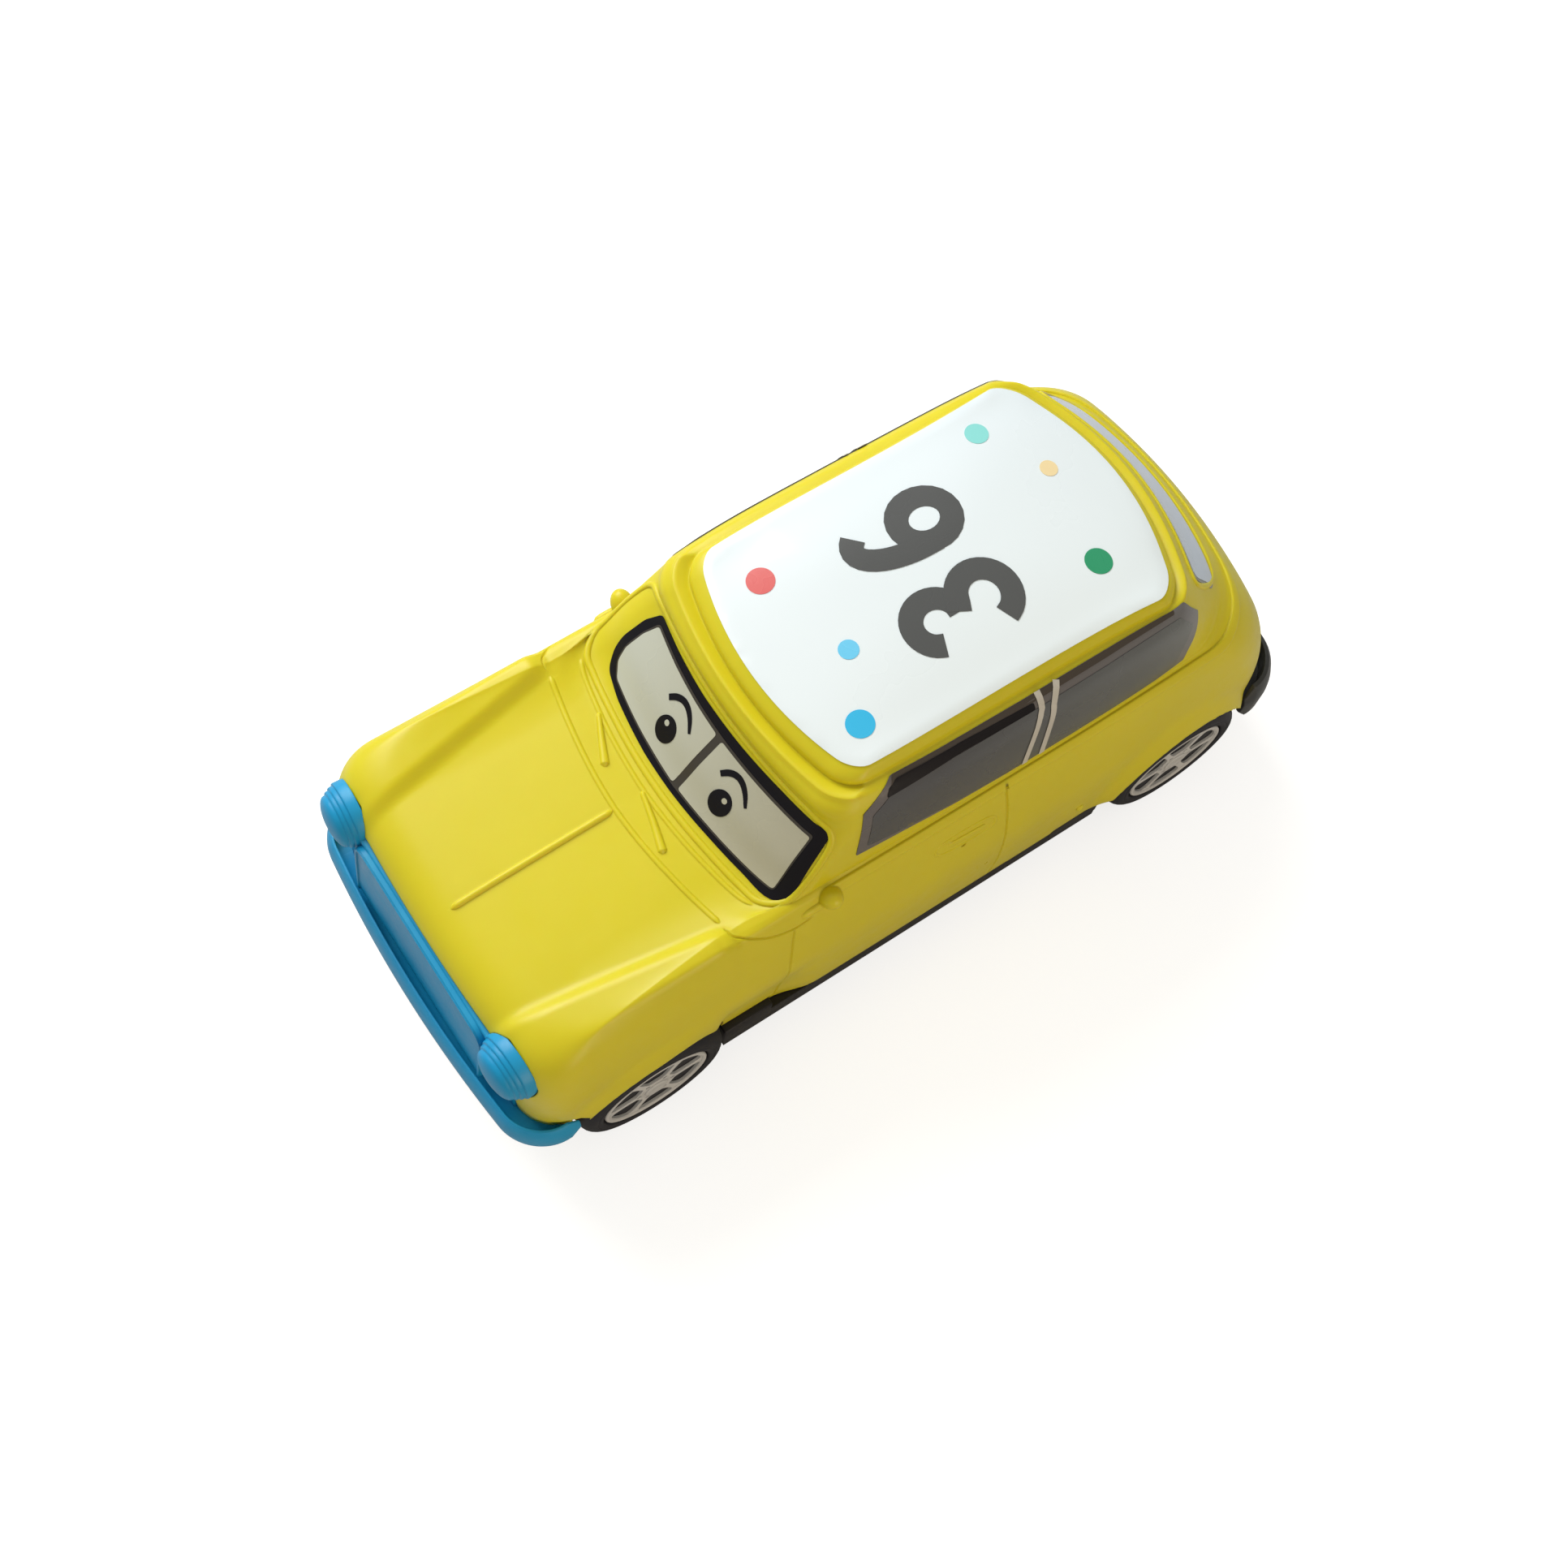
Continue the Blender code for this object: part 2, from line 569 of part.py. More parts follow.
# section of a lamp: radius, distance in front of its centre
LAMP_PROFILE = ((0.0, 2.9), (2.2, 2.6), (3.5, 1.9), (4.0, 1.1), (4.7, 0.9), (4.8, 0.5),
                (LAMP_R, 0.2), (LAMP_R, -1.2), (0.0, -1.2))


def trim_grille():
    """Plate with rounded upper corners, its top leaning back."""
    points = [(-GRILLE_HALF_W, GRILLE_BASE), (GRILLE_HALF_W, GRILLE_BASE)]
    corner_x = GRILLE_HALF_W - GRILLE_CORNER_R
    for cx, start in ((corner_x, 0.0), (-corner_x, 90.0)):
        for k in range(5):
            t = math.radians(start + 90.0 * k / 4)
            points.append((cx + GRILLE_CORNER_R * math.cos(t),
                           GRILLE_CORNER_Y + GRILLE_CORNER_R * math.sin(t)))
    grille = flat_part("trim_grille", [points], GRILLE_T)
    lean = Matrix.Rotation(math.radians(-4.5), 4, "X")
    grille.matrix_world = at(0, -70.2, 28.5) @ lean @ AXIS["-y"]
    return grille


def trim_lamp(side):
    lamp = turned(f"trim_lamp_{side}", LAMP_PROFILE, steps=20)
    apply_modifiers(lamp)
    lamp.matrix_world = at(side * LAMP_X, LAMP_Y, LAMP_Z) @ AXIS["-y"]
    return lamp


def make_front_trim():
    """Bumper bar that wraps the nose, with a face plate, a grille and two stepped
    round lamps moulded on it."""
    trim = band("front_trim", BUMPER_FRONT, 0.0, 0.3655, FRONT_BAND, BAND_T, "blue_plastic")
    unite(trim, web("trim_shelf", BUMPER_FRONT, 0.16, 0.322))
    unite(trim, box("trim_core", (-22.0, -73.2, WEB_Z0), (22.0, -68.25, 18.8)))
    plate = box("trim_plate", (-PLATE_HALF_W, PLATE_BACK_Y - 2.0, PLATE_Z0),
                (PLATE_HALF_W, PLATE_BACK_Y, PLATE_Z1))
    bevel(plate, 0.7)
    unite(trim, plate)
    unite(trim, trim_grille())
    for side, _ in SIDES:
        unite(trim, trim_lamp(side))


def make_rear_bumper():
    bumper = band("rear_bumper", BUMPER_REAR, 0.656, 1.0, REAR_BAND, BAND_T, "black_plastic")
    unite(bumper, web("bumper_shelf", BUMPER_REAR, 0.68, 1.0))


# --------------------------------------------------------------------- labels
LABEL_T = 0.25
LABEL_LIFT = 0.4          # from the shell to the underside of a label
SIDE_LABEL_LIFT = 0.42
# side window label: row of RINGS, u of its front and rear edge
SIDE_WINDOW = ((10.15, 0.413, 0.648), (12.0, 0.420, 0.672), (13.0, 0.428, 0.680),
               (14.0, 0.440, 0.672), (14.6, 0.446, 0.660))


def make_roof_label():
    """The whole roof panel inside its rounded edge."""
    rows = [shell_point(v, BODY_U) + np.array([0, 0, LABEL_LIFT]) for v in ROOF_PANEL_ROWS]
    rows[0][:, 0] *= 0.985                   # draw the outer edge in slightly
    sheet("roof_label", rows, LABEL_T, 1.0, "white_label")


def centre_window_label(name, mat, u0, u1, vs):
    """Label across the plane of symmetry, with a column at each facet edge."""
    columns = sorted({u0, u1, *[u for u in BODY_U if u0 < u < u1]})
    rows = []
    for v in vs:
        row = shell_point(v, columns, LABEL_LIFT)
        row[0 if u0 == 0.0 else -1][0] = 0.0
        rows.append(row)
    sheet(name, rows, LABEL_T, 1.0, mat)


def make_side_window_labels():
    """Labels that fold over the edge of the roof."""
    for side, side_name in SIDES:
        rows = []
        for v, u0, u1 in SIDE_WINDOW:
            row = shell_point(v, np.linspace(u0, u1, 7), SIDE_LABEL_LIFT)
            if side < 0:                     # reversed, so that the faces still look outwards
                row = row[::-1] * np.array([-1.0, 1.0, 1.0])
            rows.append(row)
        sheet(f"side_window_label_{side_name}", rows, LABEL_T, 1.0, "dark_window_label",
              mirror=False)


def make_labels():
    make_roof_label()
    centre_window_label("windscreen_label", "windscreen_label_print",
                        0.0, 0.30, (10.35, 11.0, 11.85))
    centre_window_label("rear_window_label", "rear_window_label_print",
                        0.80, 1.0, (11.0, 12.0, 12.9))
    make_side_window_labels()


# --------------------------------------------------------------------- wheels
WHEEL_OUT_X = 31.2        # outer face of the tyres
WHEEL_W = 8.0
HUB_R = 8.9
HUB_T = 0.9
HUB_INSET = 0.35          # hub face behind the outer face of the tyre
SEAT_H = -HUB_T - 1.0     # floor of the wheel's recess for the hub disc
WEB_H = -WHEEL_W + 3.4    # inboard face of the wheel's disc
AXLE_END_X = WHEEL_OUT_X - HUB_INSET - HUB_T - GAP
SPOKES = 6
WINDOW_EDGE = ((3.1, 0.17), (5.0, 0.32), (7.3, 0.33))    # radius, half angle
WINDOW_TIP_R = 7.7
# section of a wheel: radius, height; height 0 is the outer face, negative is inboard
WHEEL_PROFILE = (
    (HUB_R + GAP, -0.15), (TYRE_R - 1.9, 0.0), (TYRE_R - 0.5, -0.7), (TYRE_R, -2.1),
    (TYRE_R, -WHEEL_W + 0.9), (TYRE_R - 0.8, -WHEEL_W), (TYRE_R - 3.0, -WHEEL_W),
    (TYRE_R - 3.0, WEB_H), (3.2, WEB_H), (3.2, -WHEEL_W), (AXLE_R + RUN_GAP, -WHEEL_W),
    (AXLE_R + RUN_GAP, SEAT_H), (HUB_R + GAP, SEAT_H))


def hub_outlines():
    """A round disc with a window between each pair of spokes."""
    loops = [circle(HUB_R, 24)]
    for k in range(SPOKES):
        middle = 2 * math.pi * (k + 0.5) / SPOKES
        polar = [(r, middle - half) for r, half in WINDOW_EDGE]
        polar += [(WINDOW_TIP_R, middle)]
        polar += [(r, middle + half) for r, half in reversed(WINDOW_EDGE)]
        loops.append([(r * math.cos(a), r * math.sin(a)) for r, a in polar])
    return loops


def make_wheels_and_axles():
    for axle, y in AXLES:
        for side, side_name in SIDES:
            facing = AXIS["x" if side > 0 else "-x"]
            wheel = turned(f"wheel_{axle}_{side_name}", WHEEL_PROFILE, 24, "wheel_plastic")
            wheel.matrix_world = at(side * WHEEL_OUT_X, y, AXLE_Z) @ facing
            hub = flat_part(f"hub_disc_{axle}_{side_name}", hub_outlines(), HUB_T, "hub_grey")
            hub_x = side * (WHEEL_OUT_X - HUB_INSET - HUB_T / 2)
            hub.matrix_world = at(hub_x, y, AXLE_Z) @ facing
        rod(f"{axle}_axle", AXLE_R, -AXLE_END_X, AXLE_END_X, "x", (0, y, AXLE_Z), "steel")


# --------------------------------------------------------------- spring motor
MODULE = 0.75
TEETH_AXLE = 10
TEETH_IDLER = 24
TEETH_IDLER_PINION = 8
TEETH_SPRING = 26
MESH_EXTRA = 0.12         # added to each shaft distance
BACKLASH = 0.26
SHAFT_R = 0.9
GEAR_W = 2.6
TRAIN_X = 4.6             # middle of the axle pinion and the idler gear

MOTOR_X = 9.6             # half width of the case
MOTOR_WALL = 1.2
MOTOR_Z0, MOTOR_Z1 = FLOOR_Z1 + GAP, 36.6
SHAFT_END_X = MOTOR_X - 0.2
FOOT_T = 1.8
# foot ends in y from its screw; the end towards the case runs on into it
FOOT_ENDS = {"front": (-3.2, 3.8), "rear": (-3.8, 3.2)}
# x range of the feet of each half; those of the left half are narrower
FOOT_X = {"left": (GAP / 2, GAP / 2 + MOTOR_X - 3.0), "right": (-MOTOR_X, -GAP / 2)}

SPRING_TURNS = 3.5
SPRING_TURN_STEPS = 16
SPRING_T = 0.35           # thickness of the strip
SPRING_R0 = 2.2           # inner end
SPRING_SPREAD = 6.0       # growth in radius to the outer end

# direction of the idler from the axle, and of the spring gear from the idler,
# turned from +Y towards +Z
IDLER_ANGLE = math.radians(100.0)
SPRING_ANGLE = math.radians(200.0)


def meshed_place(start, angle, teeth_a, teeth_b):
    """(y, z) of a shaft whose gear meshes with that of the start shaft."""
    distance = MODULE * (teeth_a + teeth_b) / 2 + MESH_EXTRA
    return (start[0] + distance * math.cos(angle), start[1] + distance * math.sin(angle))


AXLE_YZ = (AXLE_REAR_Y, AXLE_Z)
IDLER_YZ = meshed_place(AXLE_YZ, IDLER_ANGLE, TEETH_AXLE, TEETH_IDLER)
SPRING_YZ = meshed_place(IDLER_YZ, SPRING_ANGLE, TEETH_IDLER_PINION, TEETH_SPRING)


def across_x(obj, x, yz):
    """Turn a flat part across the X axis: its own X becomes +Y and its own Y
    becomes +Z."""
    turn = Matrix(((0, 0, 1, 0), (1, 0, 0, 0), (0, 1, 0, 0), (0, 0, 0, 1)))
    obj.matrix_world = at(x, *yz) @ turn


def gear_outline(teeth, phase):
    """Straight sided teeth, thinned for backlash; tooth 0 points at phase."""
    pitch_r = MODULE * teeth / 2
    tip_r, root_r = pitch_r + 0.82 * MODULE, pitch_r - 1.2 * MODULE
    half = (math.pi * MODULE / 2 - BACKLASH) / 2 / pitch_r
    points = []
    for k in range(teeth):
        centre = phase + 2 * math.pi * k / teeth
        for r, share in ((root_r, -1.7), (tip_r, -0.45), (tip_r, 0.45), (root_r, 1.7)):
            a = centre + half * share
            points.append((r * math.cos(a), r * math.sin(a)))
    return points


def gap_facing(angle, teeth):
    """Phase that turns a gap between teeth back towards the gear at -angle."""
    return angle + math.pi + math.pi / teeth


def gear(name, teeth, phase, shaft_r, width, x, yz, mat=None):
    obj = flat_part(name, [gear_outline(teeth, phase), circle(shaft_r + RUN_GAP)], width, mat)
    across_x(obj, x, yz)
    return obj


def make_gears():
    gear("axle_pinion", TEETH_AXLE, IDLER_ANGLE, AXLE_R, 3.4, TRAIN_X, AXLE_YZ, "brass")
    idler = gear("idler_gear", TEETH_IDLER, gap_facing(IDLER_ANGLE, TEETH_IDLER),
                 SHAFT_R, GEAR_W, TRAIN_X, IDLER_YZ, "gear_plastic")
    unite(idler, gear("idler_pinion_add", TEETH_IDLER_PINION, SPRING_ANGLE,
                      SHAFT_R, 4.6, 1.9, IDLER_YZ))
    gear("spring_gear", TEETH_SPRING, gap_facing(SPRING_ANGLE, TEETH_SPRING),
         SHAFT_R, GEAR_W, 1.0, SPRING_YZ, "gear_plastic")


def make_shafts():
    for name, yz in (("idler_shaft", IDLER_YZ), ("spring_arbor", SPRING_YZ)):
        rod(name, SHAFT_R, -SHAFT_END_X, SHAFT_END_X, "x", (0, *yz), "steel", segments=20)


def make_mainspring():
    """A flat strip wound round the arbor."""
    steps = int(SPRING_TURNS * SPRING_TURN_STEPS)
    outer, inner = [], []
    for i in range(steps + 1):
        a = 2 * math.pi * i / SPRING_TURN_STEPS
        r = SPRING_R0 + SPRING_SPREAD * i / steps
        for face, face_r in ((outer, r + SPRING_T / 2), (inner, r - SPRING_T / 2)):
            face.append((face_r * math.cos(a), face_r * math.sin(a)))
    spring = flat_part("mainspring", [outer + inner[::-1]], 5.2, "spring_steel")
    across_x(spring, -4.4, SPRING_YZ)


def make_motor_case_half(side, name):
    """One of two halves that part at the middle plane."""
    x0, x1 = sided(side, GAP / 2, MOTOR_X)
    case = box(f"motor_case_{name}", (x0, MOTOR_Y0, MOTOR_Z0), (x1, MOTOR_Y1, MOTOR_Z1),
               "motor_case_plastic")
    bevel(case, 1.0)
    # the cavity cutter passes the parting plane, so that the half is open there
    x0, x1 = sided(side, -1.0, MOTOR_X - MOTOR_WALL)
    subtract(case, box(f"cut_case_{name}",
                       (x0, MOTOR_Y0 + MOTOR_WALL, MOTOR_Z0 + MOTOR_WALL),
                       (x1, MOTOR_Y1 - MOTOR_WALL, MOTOR_Z1 - MOTOR_WALL)))
    shafts = ((AXLE_R, AXLE_YZ), (SHAFT_R, IDLER_YZ), (SHAFT_R, SPRING_YZ))
    for k, (radius, yz) in enumerate(shafts):
        subtract(case, rod(f"cut_shaft_{name}_{k}", radius + RUN_GAP, *sided(side, 2.0, 12.0),
                           "x", (0, *yz), segments=16))
    # this half's part of each foot, with half of the screw hole
    x0, x1 = FOOT_X[name]
    for end, y in MOTOR_FEET:
        front, rear = FOOT_ENDS[end]
        unite(case, box(f"foot_{name}_{end}", (x0, y + front, MOTOR_Z0),
                        (x1, y + rear, MOTOR_Z0 + FOOT_T)))
        subtract(case, rod(f"cut_foot_{name}_{end}", MOTOR_SCREW_R + GAP, 0.0, 12.0, "z",
                           (0, y, 0), segments=16))


def make_motor():
    make_gears()
    make_shafts()
    make_mainspring()
    for side, name in SIDES:
        make_motor_case_half(side, name)


# --------------------------------------------------------------------- screws
def screw(name, x, y, head_r, shank_r, tip_z):
    """Pan head screw driven upwards from below, its head flush with the chassis."""
    head_z = FLOOR_Z0
    profile = [(0.0, tip_z), (shank_r * 0.45, tip_z - 0.3), (shank_r, tip_z - 1.4),
               (shank_r, head_z + SCREW_HEAD_H), (head_r, head_z + SCREW_HEAD_H),
               (head_r, head_z + 0.35), (head_r - 0.5, head_z), (0.0, head_z)]
    obj = turned(name, profile, 12, "steel")
    obj.location = (x * MM, y * MM, 0.0)


def make_screws():
    for end, y, _ in BOSSES:
        for side, side_name in SIDES:
            screw(f"body_screw_{end}_{side_name}", side * BOSS_X, y, SCREW_HEAD_R, SCREW_R, 16.0)
    for end, y in MOTOR_FEET:
        screw(f"motor_screw_{end}", 0.0, y, MOTOR_SCREW_HEAD_R, MOTOR_SCREW_R, 10.0)


def main():
    clear_scene()
    make_collections()
    make_materials()
    make_body()
    make_chassis()
    make_front_trim()
    make_rear_bumper()
    make_labels()
    make_wheels_and_axles()
    make_motor()
    make_screws()


main()
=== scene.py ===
"""Looks of a pull-back toy car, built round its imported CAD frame.

Frame: metres, +Z up, ground at Z = 0, nose towards -Y, +X is the car's left.
Shapes are worked out in millimetres and scaled down when a piece is finished.
"""
import math

import bmesh
import bpy
import numpy as np
from mathutils import Matrix, Vector
from mathutils.bvhtree import BVHTree
from mathutils.geometry import delaunay_2d_cdt


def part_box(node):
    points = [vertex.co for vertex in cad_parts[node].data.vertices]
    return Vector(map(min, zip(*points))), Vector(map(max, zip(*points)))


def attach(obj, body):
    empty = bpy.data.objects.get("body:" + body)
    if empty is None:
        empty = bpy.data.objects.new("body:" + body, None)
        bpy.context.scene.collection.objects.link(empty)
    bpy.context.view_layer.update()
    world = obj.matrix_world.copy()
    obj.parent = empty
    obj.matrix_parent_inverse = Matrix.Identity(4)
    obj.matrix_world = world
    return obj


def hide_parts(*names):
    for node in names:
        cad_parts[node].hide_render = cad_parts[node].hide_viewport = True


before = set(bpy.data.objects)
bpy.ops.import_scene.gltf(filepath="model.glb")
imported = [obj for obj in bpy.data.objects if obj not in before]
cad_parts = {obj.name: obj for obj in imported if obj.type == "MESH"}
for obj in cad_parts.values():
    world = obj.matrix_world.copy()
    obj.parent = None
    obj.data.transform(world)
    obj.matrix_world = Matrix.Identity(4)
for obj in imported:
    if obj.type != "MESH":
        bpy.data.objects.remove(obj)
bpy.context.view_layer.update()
MM = 0.001
SIDES = ((1, "left"), (-1, "right"))

# ------------------------------------------------------- sizes from the frame
low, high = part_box("wheel_front_left")
TYRE_R = (high[2] - low[2]) / 2 / MM
AXLE_Z = (high[2] + low[2]) / 2 / MM
FRONT_AXLE_Y = (high[1] + low[1]) / 2 / MM
WHEEL_OUT = high[0] / MM
WHEEL_W = (high[0] - low[0]) / MM
low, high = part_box("wheel_rear_left")
REAR_AXLE_Y = (high[1] + low[1]) / 2 / MM
low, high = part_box("chassis")
FLOOR_Z = low[2] / MM

# ------------------------------------------------------------------ own sizes
ARCH_R = 13.6
LAMP_X, LAMP_Y, LAMP_Z = 22.05, -69.8, 34.7
LAMP_R = 5.2
DOME_R = 4.05           # lens of a head lamp
GRILLE_HALF = 17.5
GRILLE_TOP = 35.9
HUB_X = WHEEL_OUT - 0.35
HUB_THICK = 0.45
MID_Y = 8.0             # the outline is measured from here to nose and tail
BODY_CENTRE = Vector((0, MID_Y, 25))

# Outline of the body, one row for each level from the sill to the roof centre:
# y, z of the nose centre; half width, z of the side; y, z of the tail centre;
# nose and tail corner radii; nose and tail sweep; half widths near nose and tail.
RINGS = np.array((
    (-69.5, 9.5, 29.4, 9.0, 70.4, 10.0, 6.5, 8.0, 2.0, 4.0, 28.2, 28.2),
    (-70.2, 14.0, 30.0, 13.5, 71.2, 16.0, 6.0, 8.0, 2.0, 4.0, 29.2, 28.8),
    (-70.6, 21.0, 30.4, 20.5, 71.4, 23.0, 6.0, 8.0, 2.0, 4.0, 30.2, 29.2),
    (-70.6, 29.0, 30.2, 28.0, 70.4, 30.0, 6.0, 8.0, 1.8, 4.0, 30.6, 29.2),
    (-70.0, 34.5, 29.2, 34.0, 68.7, 35.0, 6.0, 8.0, 1.6, 4.0, 30.0, 28.6),
    (-68.3, 38.4, 28.2, 38.6, 66.4, 39.6, 6.0, 8.0, 1.4, 4.2, 28.5, 27.8),
    (-65.0, 40.4, 27.3, 41.6, 64.0, 42.8, 6.0, 8.0, 1.4, 4.4, 26.4, 26.8),
    (-59.0, 41.2, 26.7, 42.9, 62.6, 44.6, 5.5, 8.5, 1.6, 4.6, 25.4, 26.0),
    (-49.0, 41.8, 26.3, 43.5, 61.7, 45.6, 5.2, 9.0, 2.2, 4.8, 24.2, 25.4),
    (-38.3, 42.3, 26.1, 44.0, 60.9, 46.6, 4.5, 9.0, 2.9, 5.0, 23.4, 25.0),
    (-30.4, 42.8, 25.8, 44.8, 59.4, 48.2, 4.2, 8.5, 3.6, 5.2, 25.6, 24.6),
    (-25.4, 48.2, 25.3, 50.0, 56.9, 50.8, 4.2, 7.5, 3.2, 5.6, 24.6, 24.2),
    (-20.5, 53.8, 24.7, 55.0, 54.2, 53.8, 4.2, 6.0, 2.8, 6.2, 23.6, 23.8),
    (-20.6, 57.0, 23.9, 57.6, 52.6, 56.0, 4.2, 5.2, 3.0, 6.6, 22.6, 23.4),
    (-19.6, 58.6, 22.6, 59.2, 50.6, 58.2, 4.0, 4.6, 3.4, 6.0, 21.6, 22.6),
    (-18.0, 59.0, 21.2, 59.8, 49.2, 59.0, 3.5, 4.2, 3.6, 5.8, 20.6, 21.8),
    (-17.2, 60.2, 20.4, 61.0, 48.2, 59.9, 3.2, 4.0, 3.7, 5.6, 20.0, 21.2),
    (-16.0, 61.2, 19.6, 62.0, 47.3, 60.6, 3.0, 3.8, 3.8, 5.5, 19.2, 20.6),
    (-14.5, 61.7, 17.5, 62.5, 45.2, 61.1, 2.8, 3.5, 3.6, 5.4, 17.2, 18.0),
    (-8.0, 62.5, 11.0, 63.0, 38.5, 61.9, 2.0, 3.0, 2.4, 5.0, 11.0, 11.0),
    (0.0, 63.2, 0.0, 63.3, 29.5, 62.9, 0.0, 0.0, 0.0, 0.0, 0.0, 0.0),
))
(NOSE_Y, NOSE_Z, HALF, SIDE_Z, TAIL_Y, TAIL_Z,
 NOSE_R, TAIL_R, NOSE_SWEEP, TAIL_SWEEP, NOSE_HALF, TAIL_HALF) = range(12)
TOP = len(RINGS) - 1

# Outer outlines of the bumpers, in the same columns.
FRONT_BUMPER = (-74.2, 16.0, 31.5, 16.0, 74.0, 16.0, 7.0, 8.0, 2.2, 4.0, 31.3, 30.0)
REAR_BUMPER = (-73.0, 18.0, 31.2, 18.0, 74.2, 18.0, 7.5, 7.5, 1.2, 2.6, 30.8, 30.8)

# "along" runs from 0 at the nose centre to 1 at the tail centre.  These are its
# values at both ends of the nose corner and both ends of the tail corner.
NOSE_END, SIDE_START, SIDE_END, TAIL_START = 0.26, 0.36, 0.66, 0.76

# Lips round the wheels: axle y, angles in degrees from +Y upwards, reach at each
# angle, swell, and the angles over which the swell fades in.
FLARES = (
    (FRONT_AXLE_Y, (20, 48.7, 66.2, 82.8, 100.5, 126, 154.7, 175),
     (20.6, 20.2, 19.6, 19.4, 19.0, 18.0, 17.0, 16.0), 1.05, (36, 95)),
    (REAR_AXLE_Y, (10, 44.4, 73.8, 95.3, 109.8, 131.4, 160),
     (15.6, 16.2, 17.4, 19.2, 19.6, 18.8, 17.5), 1.45, (-20, 30)),
)


# ------------------------------------------------------------- small mathematics
def smooth01(t):
    t = np.clip(t, 0.0, 1.0)
    return t * t * (3.0 - 2.0 * t)


def rise(value, start, length):
    """Soft step from 0 to 1 that begins at start."""
    return smooth01((value - start) / length)


def fall(value, end, length):
    """Soft step from 1 to 0 that is over at end."""
    return smooth01((end - value) / length)


def catmull(points, i, t, closed=False):
    """Catmull-Rom point at t between points i and i + 1."""
    count = len(points)
    p1, p2 = points[i], points[(i + 1) % count]
    p0 = points[i - 1] if closed or i > 0 else 2 * p1 - p2
    p3 = points[(i + 2) % count] if closed or i + 2 < count else 2 * p2 - p1
    return 0.5 * (2 * p1 + (p2 - p0) * t + (2 * p0 - 5 * p1 + 4 * p2 - p3) * t * t
                  + (3 * p1 - p0 - 3 * p2 + p3) * t ** 3)


def unit(vectors, guard=0.0):
    return vectors / (np.linalg.norm(vectors, axis=1)[:, None] + guard)


def spans(points, closed=False):
    """Direction of a line at each of its points, not normalised."""
    if closed:
        return np.roll(points, -1, 0) - np.roll(points, 1, 0)
    return np.gradient(points, axis=0)


def travel(points):
    """Distance run along a line up to each of its points."""
    return np.concatenate([[0], np.cumsum(np.linalg.norm(np.diff(points, axis=0), axis=1))])


# ------------------------------------------------------------------ body surface
def ring_at(level):
    level = min(max(float(level), 0.0), float(TOP))
    i = int(min(math.floor(level), TOP - 1))
    return catmull(RINGS, i, level - i)


def outline(ring, along):
    """Points of the left half of one ring."""
    (nose_y, nose_z, half, side_z, tail_y, tail_z, nose_r, tail_r,
     nose_sweep, tail_sweep, nose_half, tail_half) = ring
    along = np.asarray(along, float)
    x, y = np.zeros_like(along), np.zeros_like(along)
    if half < 1e-6:
        y = nose_y + (tail_y - nose_y) * along
    else:
        on = along <= NOSE_END
        x[on], y[on] = (half - nose_r) * along[on] / NOSE_END, nose_y
        on = (along > NOSE_END) & (along <= SIDE_START)
        turn = (along[on] - NOSE_END) / (SIDE_START - NOSE_END) * math.pi / 2
        x[on] = half - nose_r + nose_r * np.sin(turn)
        y[on] = nose_y + nose_r - nose_r * np.cos(turn)
        on = (along > SIDE_START) & (along <= SIDE_END)
        part = (along[on] - SIDE_START) / (SIDE_END - SIDE_START)
        x[on] = half
        y[on] = nose_y + nose_r + (tail_y - tail_r - nose_y - nose_r) * part
        on = (along > SIDE_END) & (along <= TAIL_START)
        turn = (along[on] - SIDE_END) / (TAIL_START - SIDE_END) * math.pi / 2
        x[on] = half - tail_r + tail_r * np.cos(turn)
        y[on] = tail_y - tail_r + tail_r * np.sin(turn)
        on = along > TAIL_START
        x[on] = (half - tail_r) * (1 - (along[on] - TAIL_START) / (1 - TAIL_START))
        y[on] = tail_y
        # taper the width and sweep the corners back towards the two ends
        to_nose = np.clip((MID_Y - y) / (MID_Y - nose_y), 0, 1)
        to_tail = np.clip((y - MID_Y) / (tail_y - MID_Y), 0, 1)
        across = (x / half) ** 2
        nose_power = 3.0 if nose_half < half else 1.5
        x = x * (1 - (1 - nose_half / half) * to_nose ** nose_power
                 - (1 - tail_half / half) * to_tail ** 3)
        y = y + nose_sweep * across * to_nose ** 2 - tail_sweep * across * to_tail ** 2
    nose_share = 1 - rise(along, 0.22, 0.22)
    tail_share = rise(along, 0.60, 0.20)
    z = side_z + (nose_z - side_z) * nose_share + (tail_z - side_z) * tail_share
    return np.stack([x, y, z], -1)


